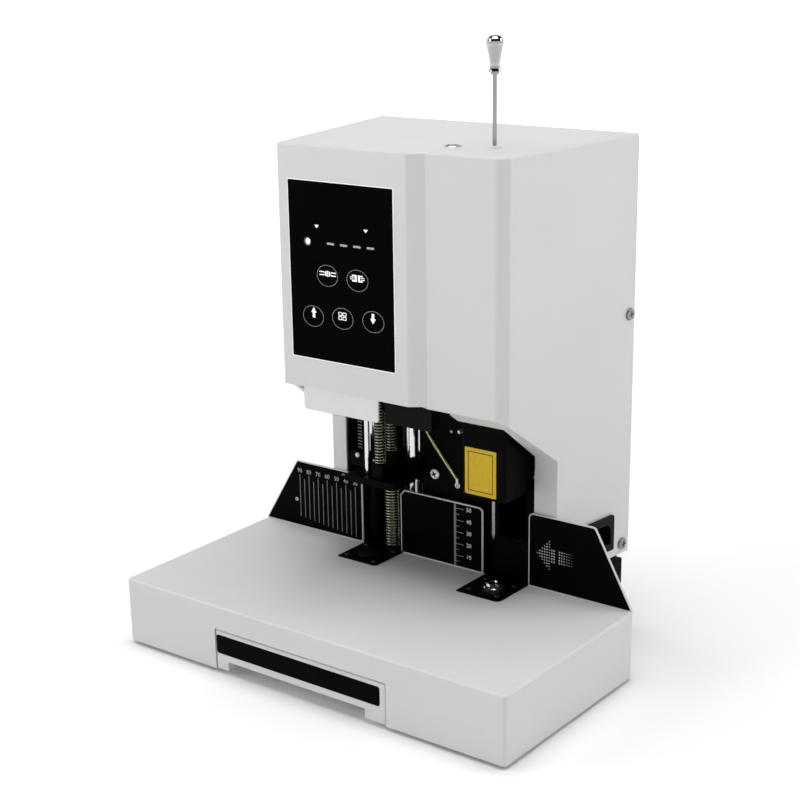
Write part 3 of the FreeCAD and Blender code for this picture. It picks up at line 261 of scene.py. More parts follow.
def key_black():
    m = Mat("gloss_black_key", IOR=1.5, Specular_IOR_Level=0.012)
    m.color(m.ramp(m.noise(40.0, 3.0, 0.5), [(0.3, g(0.0006)), (0.7, g(0.0012))]))
    m.rough(m.span(m.noise(90.0, 4.0, 0.6), 0.20, 0.30))
    m.bump(m.voronoi(1800.0, "SMOOTH_F1"), 0.10, 0.00002)
    return m.m


M["key_black"] = key_black()


def lens():
    m = Mat("diffused_lens", Roughness=0.3, Subsurface_Weight=0.2)
    m.set("Subsurface_Radius", (0.002, 0.002, 0.002))
    m.set("Subsurface_Scale", 0.5)
    m.set("Emission_Color", (1.0, 1.0, 1.0))
    m.set("Emission_Strength", 1.1)
    m.color(m.ramp(m.noise(500.0, 2.0, 0.5), [(0.3, g(0.85)), (0.7, g(0.93))]))
    m.rough(m.span(m.noise(300.0, 2.0, 0.5), 0.22, 0.34))
    return m.m


M["white_lens"] = lens()
M["rubber"] = plastic("foot_rubber", g(0.012), g(0.02), 0.65, 0.8, 700.0, 0.4, 0.3)
M["bright_steel"] = metal("hard_chrome", g(0.72), g(0.80), 0.07, 0.13, (1, 1, 0.04), 600.0, 0.05)

# knob and needle chrome darker than the hard chrome: painted shade for the dark surroundings they reflect
M["knob_chrome_painted_dark"] = metal("knob_chrome_painted_dark_reflection", g(0.36), g(0.46), 0.05, 0.09, (1, 1, 0.04), 600.0, 0.03)
M["needle_chrome_painted_dark"] = metal("needle_chrome_painted_dark_reflection", g(0.22), g(0.32), 0.12, 0.20, (1, 1, 0.04), 600.0, 0.06)
M["plain_steel"] = metal("ground_steel", g(0.42), g(0.54), 0.22, 0.34, (1, 1, 6.0), 500.0, 0.14)
M["spring_steel"] = metal("plated_spring_wire", (0.36, 0.34, 0.26), (0.56, 0.53, 0.42), 0.18, 0.30, (1, 1, 1), 900.0, 0.10)
M["black_oxide"] = metal("black_oxide_steel", g(0.012), g(0.022), 0.30, 0.42, (1, 1, 1), 350.0, 0.10)
M["bright_zinc"] = metal("bright_zinc_plate", g(0.86), g(0.94), 0.34, 0.46, (1, 1, 1), 350.0, 0.10)
M["bright_zinc"].node_tree.nodes["Principled BSDF"].inputs["Metallic"].default_value = 0.35
M["zinc_steel"] = metal("zinc_plate", g(0.52), g(0.66), 0.24, 0.36, (1, 1, 1), 350.0, 0.10)
M["machined_alu"] = metal("black_anodised_aluminium", g(0.003), g(0.006), 0.34, 0.46, (1, 6.0, 6.0), 260.0, 0.14)
M["supply_case"] = metal("aluminium_case", g(0.55), g(0.65), 0.32, 0.44, (1, 1, 0.05), 500.0, 0.16)
M["brass"] = metal("turned_brass", (0.62, 0.44, 0.16), (0.78, 0.58, 0.24), 0.20, 0.32, (1, 1, 8.0), 420.0, 0.12)
M["black_plastic"] = plastic("black_abs", g(0.0020), g(0.0038), 0.42, 0.55, 1100.0, 0.3, 0.10)
M["nylon"] = plastic("natural_nylon", (0.74, 0.73, 0.71), (0.82, 0.81, 0.79), 0.38, 0.5, 900.0, 0.15, 0.5)
M["motor_case"] = paint("motor_enamel", g(0.004), g(0.008), 0.3, 0.4, peel=0.25, spec=0.15)
M["belt_rubber"] = plastic("belt_rubber", g(0.010), g(0.018), 0.6, 0.75, 900.0, 0.4, 0.3)


def board():
    m = Mat("solder_mask", Roughness=0.28)
    tracks = m.ramp(m.voronoi(420.0, "DISTANCE_TO_EDGE"), [(0.03, (0.02, 0.20, 0.08)), (0.07, (0.008, 0.09, 0.035))])
    m.color(m.mix(m.span(m.noise(60.0, 2.0), 0.0, 0.5), tracks, (0.01, 0.12, 0.05)))
    m.rough(m.span(m.noise(200.0, 3.0), 0.22, 0.36))
    m.bump(m.voronoi(420.0, "DISTANCE_TO_EDGE"), 0.2, 0.00003)
    return m.m


M["circuit_board"] = board()


def earth():
    """Green insulation with pale yellow stripes along it."""
    m = Mat("earth_insulation", Specular_IOR_Level=0.5)
    wave = m.new("TexWave", wave_type="BANDS", bands_direction="X")
    wave.inputs["Scale"].default_value = 230.0
    wave.inputs["Distortion"].default_value = 0.3
    m.link(m.mapped((1, 1, 1), (0.0, math.radians(35.7), 0.0)), wave.inputs["Vector"])
    m.color(m.ramp(wave.outputs["Fac"], [(0.30, (0.30, 0.40, 0.06)), (0.55, (0.84, 0.86, 0.42))]))
    m.rough(m.span(m.noise(400.0, 2.0), 0.28, 0.42))
    m.bump(m.noise(1200.0, 2.0), 0.12, 0.00002)
    return m.m


M["earth_lead"] = earth()

for row in frame["record"]["subparts"]:
    o = NODES[row["node"]]
    mat = M[row["material_slot"]]
    if not o.data.materials:
        o.data.materials.append(mat)
    for i in range(len(o.data.materials)):
        o.data.materials[i] = mat
M["dark_nickel"] = metal("dark_nickel_screw", g(0.05), g(0.08), 0.26, 0.38, (1, 1, 1), 350.0, 0.10)
M["dull_zinc"] = metal("dull_zinc_plate", g(0.20), g(0.30), 0.26, 0.38, (1, 1, 1), 350.0, 0.10)
# the knob and needle take the darkened chrome, painted shade for their dark reflections; the screws take their plating
for node, key in (("needle_knob", "knob_chrome_painted_dark"), ("guide_needle", "needle_chrome_painted_dark"), ("cover_screws", "dull_zinc"),
                  ("foot_plate_screws", "dark_nickel")):
    for i in range(len(NODES[node].data.materials)):
        NODES[node].data.materials[i] = M[key]


# ===================================================================== MESHING
def mesh_object(name, bm, mat, body, smooth=False):
    bmesh.ops.recalc_face_normals(bm, faces=bm.faces)
    me = bpy.data.meshes.new(name)
    bm.to_mesh(me)
    bm.free()
    if smooth:
        for p in me.polygons:
            p.use_smooth = True
    me.materials.append(M[mat])
    o = bpy.data.objects.new(name, me)
    bpy.context.scene.collection.objects.link(o)
    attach(o, body)
    return o


def rounded(points, radii, seg=6):
    """2-D outline with its corners rounded."""
    out = []
    n = len(points)
    for i in range(n):
        p = Vector(points[i])
        a, c = Vector(points[i - 1]), Vector(points[(i + 1) % n])
        r = radii[i] if isinstance(radii, (list, tuple)) else radii
        if r <= 0:
            out.append(tuple(p))
            continue
        u, w = (a - p).normalized(), (c - p).normalized()
        half = math.acos(max(-1, min(1, u.dot(w)))) / 2.0
        d = r / math.tan(half)
        centre = p + (u + w).normalized() * (r / math.sin(half))
        s, e = p + u * d - centre, p + w * d - centre
        a0, a1 = math.atan2(s.y, s.x), math.atan2(e.y, e.x)
        while a1 - a0 > math.pi:
            a1 -= 2 * math.pi
        while a1 - a0 < -math.pi:
            a1 += 2 * math.pi
        for k in range(seg + 1):
            t = a0 + (a1 - a0) * k / seg
            out.append((centre.x + r * math.cos(t), centre.y + r * math.sin(t)))
    return out


def shrink(points, t):
    """2-D outline moved in by t on every side."""
    n = len(points)
    area = sum(points[i][0] * points[(i + 1) % n][1] - points[(i + 1) % n][0] * points[i][1] for i in range(n))
    s = 1.0 if area > 0 else -1.0
    out = []
    for i in range(n):
        a, b, c = Vector(points[i - 1]), Vector(points[i]), Vector(points[(i + 1) % n])
        d1, d2 = (b - a).normalized(), (c - b).normalized()
        n1, n2 = Vector((-d1.y, d1.x)) * s, Vector((-d2.y, d2.x)) * s
        k = 1.0 + n1.dot(n2)
        out.append(tuple(b + (n1 + n2) * (t / k)))
    return out


def slab(bm, outline, y0, y1, place):
    """Prism on a 2-D outline between two depths; place(u, v, depth) gives the point."""
    f = [bm.verts.new(place(u, v, y0)) for u, v in outline]
    r = [bm.verts.new(place(u, v, y1)) for u, v in outline]
    n = len(outline)
    bm.faces.new(f)
    bm.faces.new(r[::-1])
    for i in range(n):
        bm.faces.new((f[i], r[i], r[(i + 1) % n], f[(i + 1) % n]))


def frame_slab(bm, outer, inner, y0, y1, place):
    """The ring between two outlines of as many points."""
    n = len(outer)
    rows = []
    for pts in (outer, inner):
        rows.append([bm.verts.new(place(u, v, y0)) for u, v in pts])
        rows.append([bm.verts.new(place(u, v, y1)) for u, v in pts])
    of, ob, nf, nb = rows
    for i in range(n):
        j = (i + 1) % n
        bm.faces.new((of[i], of[j], nf[j], nf[i]))
        bm.faces.new((ob[j], ob[i], nb[i], nb[j]))
        bm.faces.new((of[j], of[i], ob[i], ob[j]))
        bm.faces.new((nf[i], nf[j], nb[j], nb[i]))


def front(u, v, d):
    """A vertical face seen from the front: u is X, v is Z, d is Y."""
    return P(u, d, v)


def disc(cx, cz, r, n=32):
    return [(cx + r * math.cos(2 * math.pi * k / n), cz + r * math.sin(2 * math.pi * k / n)) for k in range(n)]


def rect(x0, z0, x1, z1):
    return [(x0, z0), (x1, z0), (x1, z1), (x0, z1)]


def digits(text, size, cx, cz, y, depth=0.03, shear=0.0, track=1.0):
    """Plain numerals as thin raised ink, centred on a point of a front face."""
    cu = bpy.data.curves.new("numerals", "FONT")
    cu.body = text
    cu.size = size / 1000.0
    cu.align_x, cu.align_y = "CENTER", "CENTER"
    cu.extrude = depth / 2000.0
    cu.resolution_u = 3
    cu.shear = shear
    cu.space_character = track
    ob = bpy.data.objects.new("numerals", cu)
    bpy.context.scene.collection.objects.link(ob)
    dg = bpy.context.evaluated_depsgraph_get()
    me = bpy.data.meshes.new_from_object(ob.evaluated_get(dg))
    bpy.data.objects.remove(ob)
    me.transform(Matrix.Translation(P(cx, y, cz)) @ Matrix.Rotation(math.radians(90), 4, "X"))
    return me


def add_mesh(bm, me):
    bm.from_mesh(me)
    bpy.data.meshes.remove(me)


def tube(bm, pts, radius, sides=8, closed=False):
    """Sweep a circle along points with a twist-free frame and flat caps."""
    n = len(pts)
    rings = []
    t0 = (pts[1] - pts[0]).normalized()
    ref = Vector((0, 0, 1)) if abs(t0.z) < 0.9 else Vector((1, 0, 0))
    nrm = t0.cross(ref).normalized()
    prev = t0
    for i in range(n):
        if i == 0:
            t = t0
        elif i == n - 1:
            t = (pts[-1] - pts[-2]).normalized()
        else:
            t = (pts[i + 1] - pts[i - 1]).normalized()
        q = prev.rotation_difference(t)
        nrm = (q @ nrm)
        nrm = (nrm - t * nrm.dot(t)).normalized()
        prev = t
        b = t.cross(nrm)
        rings.append([bm.verts.new(pts[i] + (nrm * math.cos(2 * math.pi * k / sides)
                                             + b * math.sin(2 * math.pi * k / sides)) * radius)
                      for k in range(sides)])
    for i in range(n - 1):
        for k in range(sides):
            j = (k + 1) % sides
            bm.faces.new((rings[i][k], rings[i][j], rings[i + 1][j], rings[i + 1][k]))
    bm.faces.new(rings[0][::-1])
    bm.faces.new(rings[-1])


def lathe(bm, profile, place, n=32):
    """Turn (radius, height) points; place(x, y, h) gives the point."""
    rings = []
    for r, h in profile:
        if r < 1e-6:
            rings.append([bm.verts.new(place(0.0, 0.0, h))])
        else:
            rings.append([bm.verts.new(place(r * math.cos(2 * math.pi * k / n), r * math.sin(2 * math.pi * k / n), h))
                          for k in range(n)])
    for a, b in zip(rings, rings[1:]):
        if len(a) == 1 and len(b) == 1:
            continue
        for k in range(n):
            j = (k + 1) % n
            if len(a) == 1:
                bm.faces.new((a[0], b[k], b[j]))
            elif len(b) == 1:
                bm.faces.new((a[k], a[j], b[0]))
            else:
                bm.faces.new((a[k], a[j], b[j], b[k]))
    for ring, flip in ((rings[0], True), (rings[-1], False)):
        if len(ring) > 1:
            bm.faces.new(ring[::-1] if flip else ring)


# ======================================================= LABELS ON THE HOUSING
bm = bmesh.new()
slab(bm, rounded(rect(105.5, 190.5, 177.0, 207.6), [2.5, 2.5, 0.3, 0.3], 6), 103.06, 103.2, front)
mesh_object("guard_label", bm, "label_white", "frame")

bm = bmesh.new()
outline = rounded(rect(95.7, 17.0, 253.2, 32.4), 2.0, 6)
slab(bm, outline, 0.06, 0.30, front)
o = mesh_object("drawer_label", bm, "stop_film", "drawer")

# ===================================================== PRINTED STOP-PLATE FILMS
FY0, FY1 = 171.72, 172.0
INK0 = FY0 - 0.035

left = [(0.0, 56.0), (106.0, 56.0), (106.0, 115.0), (36.2, 115.0)]
bm = bmesh.new()
slab(bm, rounded(shrink(left, 0.9), [0.6, 0.4, 0.4, 1.6], 5), FY0, FY1, front)
mesh_object("left_stop_film", bm, "stop_film", "frame")
bm = bmesh.new()
for r in range(90, 29, -5):
    x = 129.1 - r
    top = 103.2 if r % 10 == 0 else 99.2
    low = 65.0 - 6.2 * (90.0 - r) / 60.0
    slab(bm, rect(x - 0.36, low, x + 0.36, top), INK0, FY0, front)
mesh_object("left_rule_lines", bm, "ink_grey", "frame")
bm = bmesh.new()
for r in range(90, 29, -10):
    add_mesh(bm, digits(str(r), 5.2, 129.1 - r, 106.4, FY0 - 0.02))
add_mesh(bm, digits("mm", 3.2, 87.5, 111.9, FY0 - 0.02))
mesh_object("left_rule_numbers", bm, "ink_soft", "frame")

centre = [(145.9, 56.0), (226.0, 56.0), (226.0, 110.7), (149.9, 110.7), (145.9, 106.7)]
bm = bmesh.new()
slab(bm, rounded(shrink(centre, 0.9), [0.6, 0.6, 3.2, 0.5, 0.5], 8), FY0, FY1, front)
mesh_object("centre_stop_film", bm, "stop_film", "frame")
bm = bmesh.new()
slab(bm, rect(198.8, 57.0, 200.9, 109.7), INK0, FY0, front)
for k in range(1, 11):
    z = 56.0 + 5.0 * k
    ln = 7.2 if k % 2 == 0 else 3.0
    slab(bm, rect(200.9, z - 0.30, 200.9 + ln, z + 0.30), INK0, FY0, front)
mesh_object("centre_rule_lines", bm, "ink_grey", "frame")
bm = bmesh.new()
for r in range(10, 51, 10):
    add_mesh(bm, digits(str(r), 4.9, 213.1, 56.3 + r, FY0 - 0.02))
mesh_object("centre_rule_numbers", bm, "ink_white", "frame")

right = [(268.8, 56.0), (360.0, 56.0), (327.0, 116.3), (268.8, 116.3)]
bm = bmesh.new()
slab(bm, rounded(shrink(right, 0.9), [0.4, 0.4, 2.0, 3.2], 8), FY0, FY1, front)
mesh_object("right_stop_film", bm, "stop_film", "frame")
# direction arrow made of dots, fading towards its tail
bm = bmesh.new()
px, pz, z0 = 2.15, 2.28, 85.3
for c in range(6):
    for r_ in range(-c, c + 1):
        rad = 0.62 if c < 5 else 0.50
        slab(bm, disc(276.9 + px * c, z0 + pz * r_, rad * (1.0 if abs(r_) < c else 0.85), 12), INK0, FY0, front)
for c in (6, 7):
    for r_ in range(-2, 3):
        slab(bm, disc(276.9 + px * c, z0 + pz * r_, 0.66, 12), INK0, FY0, front)
for c in range(6):
    for r_ in range(-2, 3):
        slab(bm, disc(296.6 + px * c, z0 + pz * r_, 0.64 - 0.085 * c, 12), INK0, FY0, front)
mesh_object("arrow_dots", bm, "ink_soft", "frame")

# =================================================== PLAIN YELLOW PLATE ON COVER
bm = bmesh.new()
slab(bm, rounded(rect(231.6, 134.6, 259.8, 171.8), 0.8, 4), 139.72, 140.0, front)
mesh_object("cover_plate_yellow", bm, "decal_yellow", "rivet_slide")
bm = bmesh.new()
frame_slab(bm, rect(234.3, 137.4, 257.1, 169.0), rect(235.1, 138.2, 256.3, 168.2), 139.685, 139.72, front)
mesh_object("cover_plate_border", bm, "decal_brown", "rivet_slide")

# ================================================================ CONTROL FILM
CY = 101.2
KEYS = {"drill_key": (133.3, 299.2), "bind_key": (162.0, 298.7), "up_key": (118.5, 266.2),
        "repeat_key": (147.1, 267.8), "down_key": (176.2, 269.0)}
# the film's cut edge is a fine pale line on the painted face that glows: a painted highlight of the edge catching the
# light
bm = bmesh.new()
frame_slab(bm, rounded(rect(96.35, 232.05, 196.15, 370.35), 1.0, 4), rounded(rect(96.98, 232.68, 195.52, 369.72), 0.4, 4),
           101.30, 101.69, front)
mesh_object("panel_film_edge_highlight", bm, "film_rim_highlight", "frame")
bm = bmesh.new()
for x, z in ((137.1, 323.9), (149.6, 323.9), (162.1, 324.1), (174.7, 324.3)):
    slab(bm, rounded(rect(x - 3.4, z - 0.8, x + 3.4, z + 0.8), 0.35, 3), CY - 0.035, CY, front)
mesh_object("panel_dashes", bm, "ink_soft", "frame")
bm = bmesh.new()
for x, z in ((124.1, 335.9), (170.6, 336.6)):
    slab(bm, [(x - 2.1, z + 1.2), (x, z - 1.3), (x + 2.1, z + 1.2)], CY - 0.035, CY, front)
mesh_object("panel_marks", bm, "icon_white_painted_glow", "frame")
bm = bmesh.new()
frame_slab(bm, disc(114.9, 323.8, 2.85, 40), disc(114.9, 323.8, 2.32, 40), CY - 0.03, CY, front)
mesh_object("lamp_ring", bm, "ink_ring", "frame")
# a faint grey ring outside the lamp ring: the lamp's glow painted on the film
bm = bmesh.new()
frame_slab(bm, disc(114.9, 323.8, 3.5, 40), disc(114.9, 323.8, 2.85, 40), CY - 0.02, CY, front)
mesh_object("painted_lamp_halo", bm, "lamp_glow_painted", "frame")


def oval(cx, cz, a, c, n=72):
    return [(cx + a * math.cos(2 * math.pi * k / n), cz + c * math.sin(2 * math.pi * k / n)) for k in range(n)]


KY = 101.08
for name, (x, z) in KEYS.items():
    bm = bmesh.new()
    frame_slab(bm, oval(x, z, 10.20, 8.25), oval(x, z, 9.76, 7.86), KY - 0.02, KY + 0.02, front)
    mesh_object(name + "_ring", bm, "ink_ring", name + "_body")
    bm = bmesh.new()
    i0, i1 = KY - 0.02, KY + 0.02
    if name == "drill_key":
        # a bit between two cheeks, with a pair of lines running in from each side
        xc, zc = 133.65, 300.8
        slab(bm, rect(xc - 0.42, zc - 2.3, xc + 0.42, zc + 2.3), i0, i1, front)
        for s in (-1, 1):
            half = [(s * 2.85 * math.cos(math.radians(t)), 2.35 * math.sin(math.radians(t))) for t in range(-60, 61, 12)]
            half += [(s * 1.05, 2.03), (s * 1.05, -2.03)]
            slab(bm, [(xc + a, zc + b) for a, b in half], i0, i1, front)
            for dz in (1.17, -1.17):
                x0, x1 = sorted((xc + s * 3.15, xc + s * 7.85))
                slab(bm, rect(x0, zc + dz - 0.42, x1, zc + dz + 0.42), i0, i1, front)
    elif name == "bind_key":
        # two blocks back to back, each open outwards with two pins in it
        xc, zc = 161.95, 300.35
        for s in (-1, 1):
            pts = [(0.6, 2.55), (5.0, 2.55), (5.0, 1.45), (2.5, 1.45), (2.5, -1.45), (5.0, -1.45), (5.0, -2.55), (0.6, -2.55)]
            slab(bm, [(xc + s * a, zc + b) for a, b in pts], i0, i1, front)
            for dz in (0.72, -0.72):
                x0, x1 = sorted((xc + s * 3.3, xc + s * 6.8))
                slab(bm, rect(x0, zc + dz - 0.30, x1, zc + dz + 0.30), i0, i1, front)
    elif name in ("up_key", "down_key"):
        up = name == "up_key"
        xc = 119.05 if up else 175.95
        tip, neck, end = (273.3, 269.2, 265.2) if up else (267.4, 271.3, 275.2)
        pts = [(0.0, tip), (2.65, neck), (1.2, neck), (1.2, end), (-1.2, end), (-1.2, neck), (-2.65, neck)]
        slab(bm, [(xc + a, b) for a, b in pts], i0, i1, front)
    else:
        xc, zc = 146.9, 269.65
        for sx in (-1, 1):
            for sz in (-1, 1):
                cx_, cz_ = xc + sx * 2.03, zc + sz * 1.62
                frame_slab(bm, rounded(rect(cx_ - 1.82, cz_ - 1.42, cx_ + 1.82, cz_ + 1.42), 0.6, 4),
                           rounded(rect(cx_ - 1.22, cz_ - 0.85, cx_ + 1.22, cz_ + 0.85), 0.25, 4), i0, i1, front)
    mesh_object(name + "_icon", bm, "icon_white_painted_glow", name + "_body")


# ===================================================================== SPRINGS
def helix(cx, cy, z0, z1, radius, wire, turns, per=20, ground=True):
    pts = []
    n = int(turns * per)
    for i in range(n + 1):
        t = i / n
        a = 2 * math.pi * turns * t
        # the end coils are closed up
        e = 0.9 / turns
        if ground:
            if t < e:
                h = t * 0.35
            elif t > 1 - e:
                h = 1 - (1 - t) * 0.35
            else:
                h = e * 0.35 + (t - e) * (1 - 2 * e * 0.35) / (1 - 2 * e)
        else:
            h = t
        z = z0 + wire / 2 + (z1 - z0 - wire) * h
        pts.append(P(cx + radius * math.cos(a), cy + radius * math.sin(a), z))
    return pts


PIN_A, PIN_B = (141.5, 152.0), (129.5, 183.3)
bm = bmesh.new()
for cx, cy in (PIN_A, PIN_B):
    tube(bm, helix(cx, cy, 138.0, 222.0, 4.3, 0.9, 35), 0.00045, 8)
o = mesh_object("press_spring_coils", bm, "spring_steel", "drill_slide", True)
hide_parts("press_springs")
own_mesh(o)

# the three press pins: two dark ones inside the springs, a bright one beside them
bm = bmesh.new()
for cx, cy in (PIN_A, PIN_B):
    lathe(bm, [(0.0, 138.0), (2.5, 138.0), (2.5, 239.6), (2.1, 240.0), (0.0, 240.0)],
          lambda x, y, h, cx=cx, cy=cy: P(cx + x, cy + y, h), 40)
o = mesh_object("press_pins_dark", bm, "black_oxide", "press_foot", False)
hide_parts("press_pins")
bm = bmesh.new()
lathe(bm, [(0.0, 80.0), (1.9, 80.0), (2.25, 80.5), (2.25, 138.0), (4.2, 138.0), (4.5, 138.4), (4.5, 239.6), (4.1, 240.0), (0.0, 240.0)],
      lambda x, y, h: P(152.3 + x, 180.0 + y, h), 96)
mesh_object("press_pin_bright", bm, "bright_steel", "press_foot", False)

bm = bmesh.new()
tube(bm, helix(PIN_B[0], PIN_B[1], 4.5, 121.0, 6.4, 1.0, 48), 0.0005, 8)
o = mesh_object("return_spring_coil", bm, "spring_steel", "frame", True)
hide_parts("return_spring")
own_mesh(o)

bm = bmesh.new()
tube(bm, helix(108.5, 168.0, 139.2, 194.7, 1.6, 0.55, 20, 14, False), 0.000275, 6)
o = mesh_object("pull_spring_coil", bm, "spring_steel", "drill_slide", True)
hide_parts("pull_spring")
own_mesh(o)


# ============================================================ SCREWS, TERMINALS
def frame_on(at, normal):
    """place(x, y, h) with h out along the normal from a point, in millimetres."""
    nrm = Vector(normal).normalized()
    ref = Vector((0, 0, 1)) if abs(nrm.z) < 0.9 else Vector((0, 1, 0))
    a = ref.cross(nrm).normalized()
    b = nrm.cross(a)

    def place(x, y, h):
        return at + (a * x + b * y + nrm * h) / 1000.0
    return place


def pan_screw(bm, at, normal, r, h, turn=0.35, washer=0.0):
    """Pan head with a real cross recess cut by its own faces; the recess faces take the second material, black, as
    painted shade.
    """
    place = frame_on(at, normal)
    base = 0.0
    if washer:
        lathe(bm, [(r * 0.55, 0.0), (washer, 0.0), (washer, 0.45), (r * 0.55, 0.45)], place, 32)
        base = 0.45
    # head: outer wall and crown down to the recess ring
    n = 32
    prof = [(r * 0.98, base), (r, base + h * 0.25), (r * 0.96, base + h * 0.6), (r * 0.82, base + h * 0.88)]
    rings = [[bm.verts.new(place(q * math.cos(2 * math.pi * k / n), q * math.sin(2 * math.pi * k / n), hh))
              for k in range(n)] for q, hh in prof]
    for a, b in zip(rings, rings[1:]):
        for k in range(n):
            j = (k + 1) % n
            bm.faces.new((a[k], a[j], b[j], b[k]))
    bm.faces.new(rings[0][::-1])
    # cross outline at the crown, 8 points per arm pair
    L, w = r * 0.60, r * 0.16
    cross = []
    for q in range(4):
        c, s = math.cos(q * math.pi / 2 + turn), math.sin(q * math.pi / 2 + turn)
        for u, v in ((L, -w), (L, w), (w, w)):
            cross.append((u * c - v * s, u * s + v * c))
    top = [bm.verts.new(place(u, v, base + h)) for u, v in cross]
    low = [bm.verts.new(place(u * 0.8, v * 0.8, base + h * 0.35)) for u, v in cross]
    m = len(cross)
    # recess walls and floor on material 1, black: painted shade in the recess
    for i in range(m):
        j = (i + 1) % m
        bm.faces.new((top[j], top[i], low[i], low[j])).material_index = 1
    bm.faces.new(low).material_index = 1
    # crown between the last ring and the cross: walk both loops by angle
    ring = rings[-1]
    ang_ring = [2 * math.pi * k / n for k in range(n)]

    def ang(p):
        return math.atan2(p[1], p[0]) % (2 * math.pi)
    order = sorted(range(m), key=lambda i: ang(cross[i]))
    ang_top = [ang(cross[i]) for i in order]
    tops = [top[i] for i in order]
    i = j = 0
    total_r, total_t = n, m
    # start the ring walk at the ring vertex nearest the first cross vertex
    s0 = min(range(n), key=lambda k: abs(((ang_ring[k] - ang_top[0] + math.pi) % (2 * math.pi)) - math.pi))
    while i < total_r or j < total_t:
        a_next = (ang_ring[(s0 + i + 1) % n] - ang_ring[s0]) % (2 * math.pi) if i + 1 <= total_r else 9
        if i + 1 == total_r:
            a_next = 2 * math.pi
        t_next = (ang_top[(j + 1) % m] - ang_top[0]) % (2 * math.pi) if j + 1 <= total_t else 9
        if j + 1 == total_t:
            t_next = 2 * math.pi
        if i < total_r and (j >= total_t or a_next <= t_next):
            bm.faces.new((ring[(s0 + i) % n], ring[(s0 + i + 1) % n], tops[j % m]))
            i += 1
        else:
            bm.faces.new((ring[(s0 + i) % n], tops[(j + 1) % m], tops[j % m]))
            j += 1


bm = bmesh.new()
pan_screw(bm, P(174.9, 180.0, 127.3), (0, -1, 0), 4.2, 1.6, 0.5)
o = mesh_object("panel_screw_large", bm, "bright_zinc", "frame", False)
# second slot: black, the painted shade in the cross recess
o.data.materials.append(M["black_oxide"])
bm = bmesh.new()
pan_screw(bm, P(267.2, 180.0, 142.4), (0, -1, 0), 1.6, 0.9, 0.2)
pan_screw(bm, P(191.4, 180.0, 165.8), (0, -1, 0), 1.2, 0.9, 0.2)
o = mesh_object("panel_screws_small", bm, "zinc_steel", "frame", False)
# second slot: black, the painted shade in the cross recesses
o.data.materials.append(M["black_oxide"])
# hexagonal standoff on the dust panel
bm = bmesh.new()
lathe(bm, [(1.5, 0.0), (1.5, 6.0), (1.2, 6.4), (0.8, 6.4), (0.8, 6.1)], frame_on(P(202.4, 180.0, 168.9), (0, -1, 0)), 6)
mesh_object("panel_standoff", bm, "bright_zinc", "frame", False)

# ring terminals at the ends of the earth lead
for name, at, way in (("earth_terminal_low", (197.2, 179.0, 122.0), (0.0, 1.0)),
                      ("earth_terminal_high", (166.6, 179.0, 164.6), (0.55, -0.83))):
    bm = bmesh.new()
    cx, cz = at[0], at[2]
    frame_slab(bm, disc(cx, cz, 2.4, 28), disc(cx, cz, 1.3, 28), 179.0, 179.6, front)
    # barrel crimped on the lead
    pts = [P(cx + way[0] * t, 178.7, cz + way[1] * t) for t in (2.0, 3.6, 6.0)]
    tube(bm, pts, 0.00115, 10)
    pan_screw(bm, P(cx, 179.0, cz), (0, -1, 0), 1.6, 0.9, 0.1)
    o = mesh_object(name, bm, "zinc_steel", "frame", False)
    # second slot: black, the painted shade in the cross recess
    o.data.materials.append(M["black_oxide"])

# small screw on the left stop plate
bm = bmesh.new()
pan_screw(bm, P(35.2, FY0, 79.9), (0, -1, 0), 1.7, 0.8, 0.3)
o = mesh_object("stop_plate_screw_left", bm, "zinc_steel", "frame", False)
# second slot: black, the painted shade in the cross recess
o.data.materials.append(M["black_oxide"])

# white-headed screw that anchors the pull spring on the press foot
bm = bmesh.new()
lathe(bm, [(1.3, 0.0), (1.3, 0.6), (2.0, 0.6), (2.0, 1.9), (1.7, 2.3), (0.9, 2.5), (0.0, 2.5)],
      frame_on(P(110.4, 163.0, 136.4), (0, -1, 0)), 24)
mesh_object("spring_anchor_screw", bm, "nylon", "press_foot", True)

# black sleeve round the left guide rod below the travel of the carriage, which makes the rod dark there
bm = bmesh.new()
frame_slab(bm, disc(102.5, 192.0, 6.6, 48), disc(102.5, 192.0, 5.1, 48), 57.3, 118.0, lambda u, v, d: P(u, v, d))
mesh_object("rod_sleeve", bm, "black_plastic", "frame", False)

# ======================================================================= STAGE
bm = bmesh.new()
R = 30.0
ring = [bm.verts.new((R * math.cos(2 * math.pi * k / 64), R * math.sin(2 * math.pi * k / 64), 0.0)) for k in range(64)]
bm.faces.new(ring)
me = bpy.data.meshes.new("studio_floor")
bm.to_mesh(me)
bm.free()
floor = bpy.data.objects.new("studio_floor", me)
bpy.context.scene.collection.objects.link(floor)
fm = Mat("floor_paper", Roughness=0.75, Specular_IOR_Level=0.2)
fm.color(fm.ramp(fm.noise(1.5, 2.0), [(0.3, g(0.90)), (0.7, g(0.92))]))
# the floor glows, faintly near the machine and more further out: painted light that keeps the sweep pale to its horizon
# and thins the shadows round the machine
away = fm.new("VectorMath", operation="LENGTH")
fm.link(fm.co.outputs["Object"], away.inputs[0])
glow = fm.new("MapRange", interpolation_type="SMOOTHSTEP")
for key, value in (("From Min", 0.35), ("From Max", 2.7), ("To Min", 0.07), ("To Max", 0.76)):
    glow.inputs[key].default_value = value
fm.link(away.outputs["Value"], glow.inputs["Value"])
fm.set("Emission_Color", (1.0, 1.0, 1.0))
fm.link(glow.outputs["Result"], fm.bsdf.inputs["Emission Strength"])
me.materials.append(fm.m)

scene = bpy.context.scene
scene.view_settings.view_transform = "Standard"
scene.view_settings.look = "None"

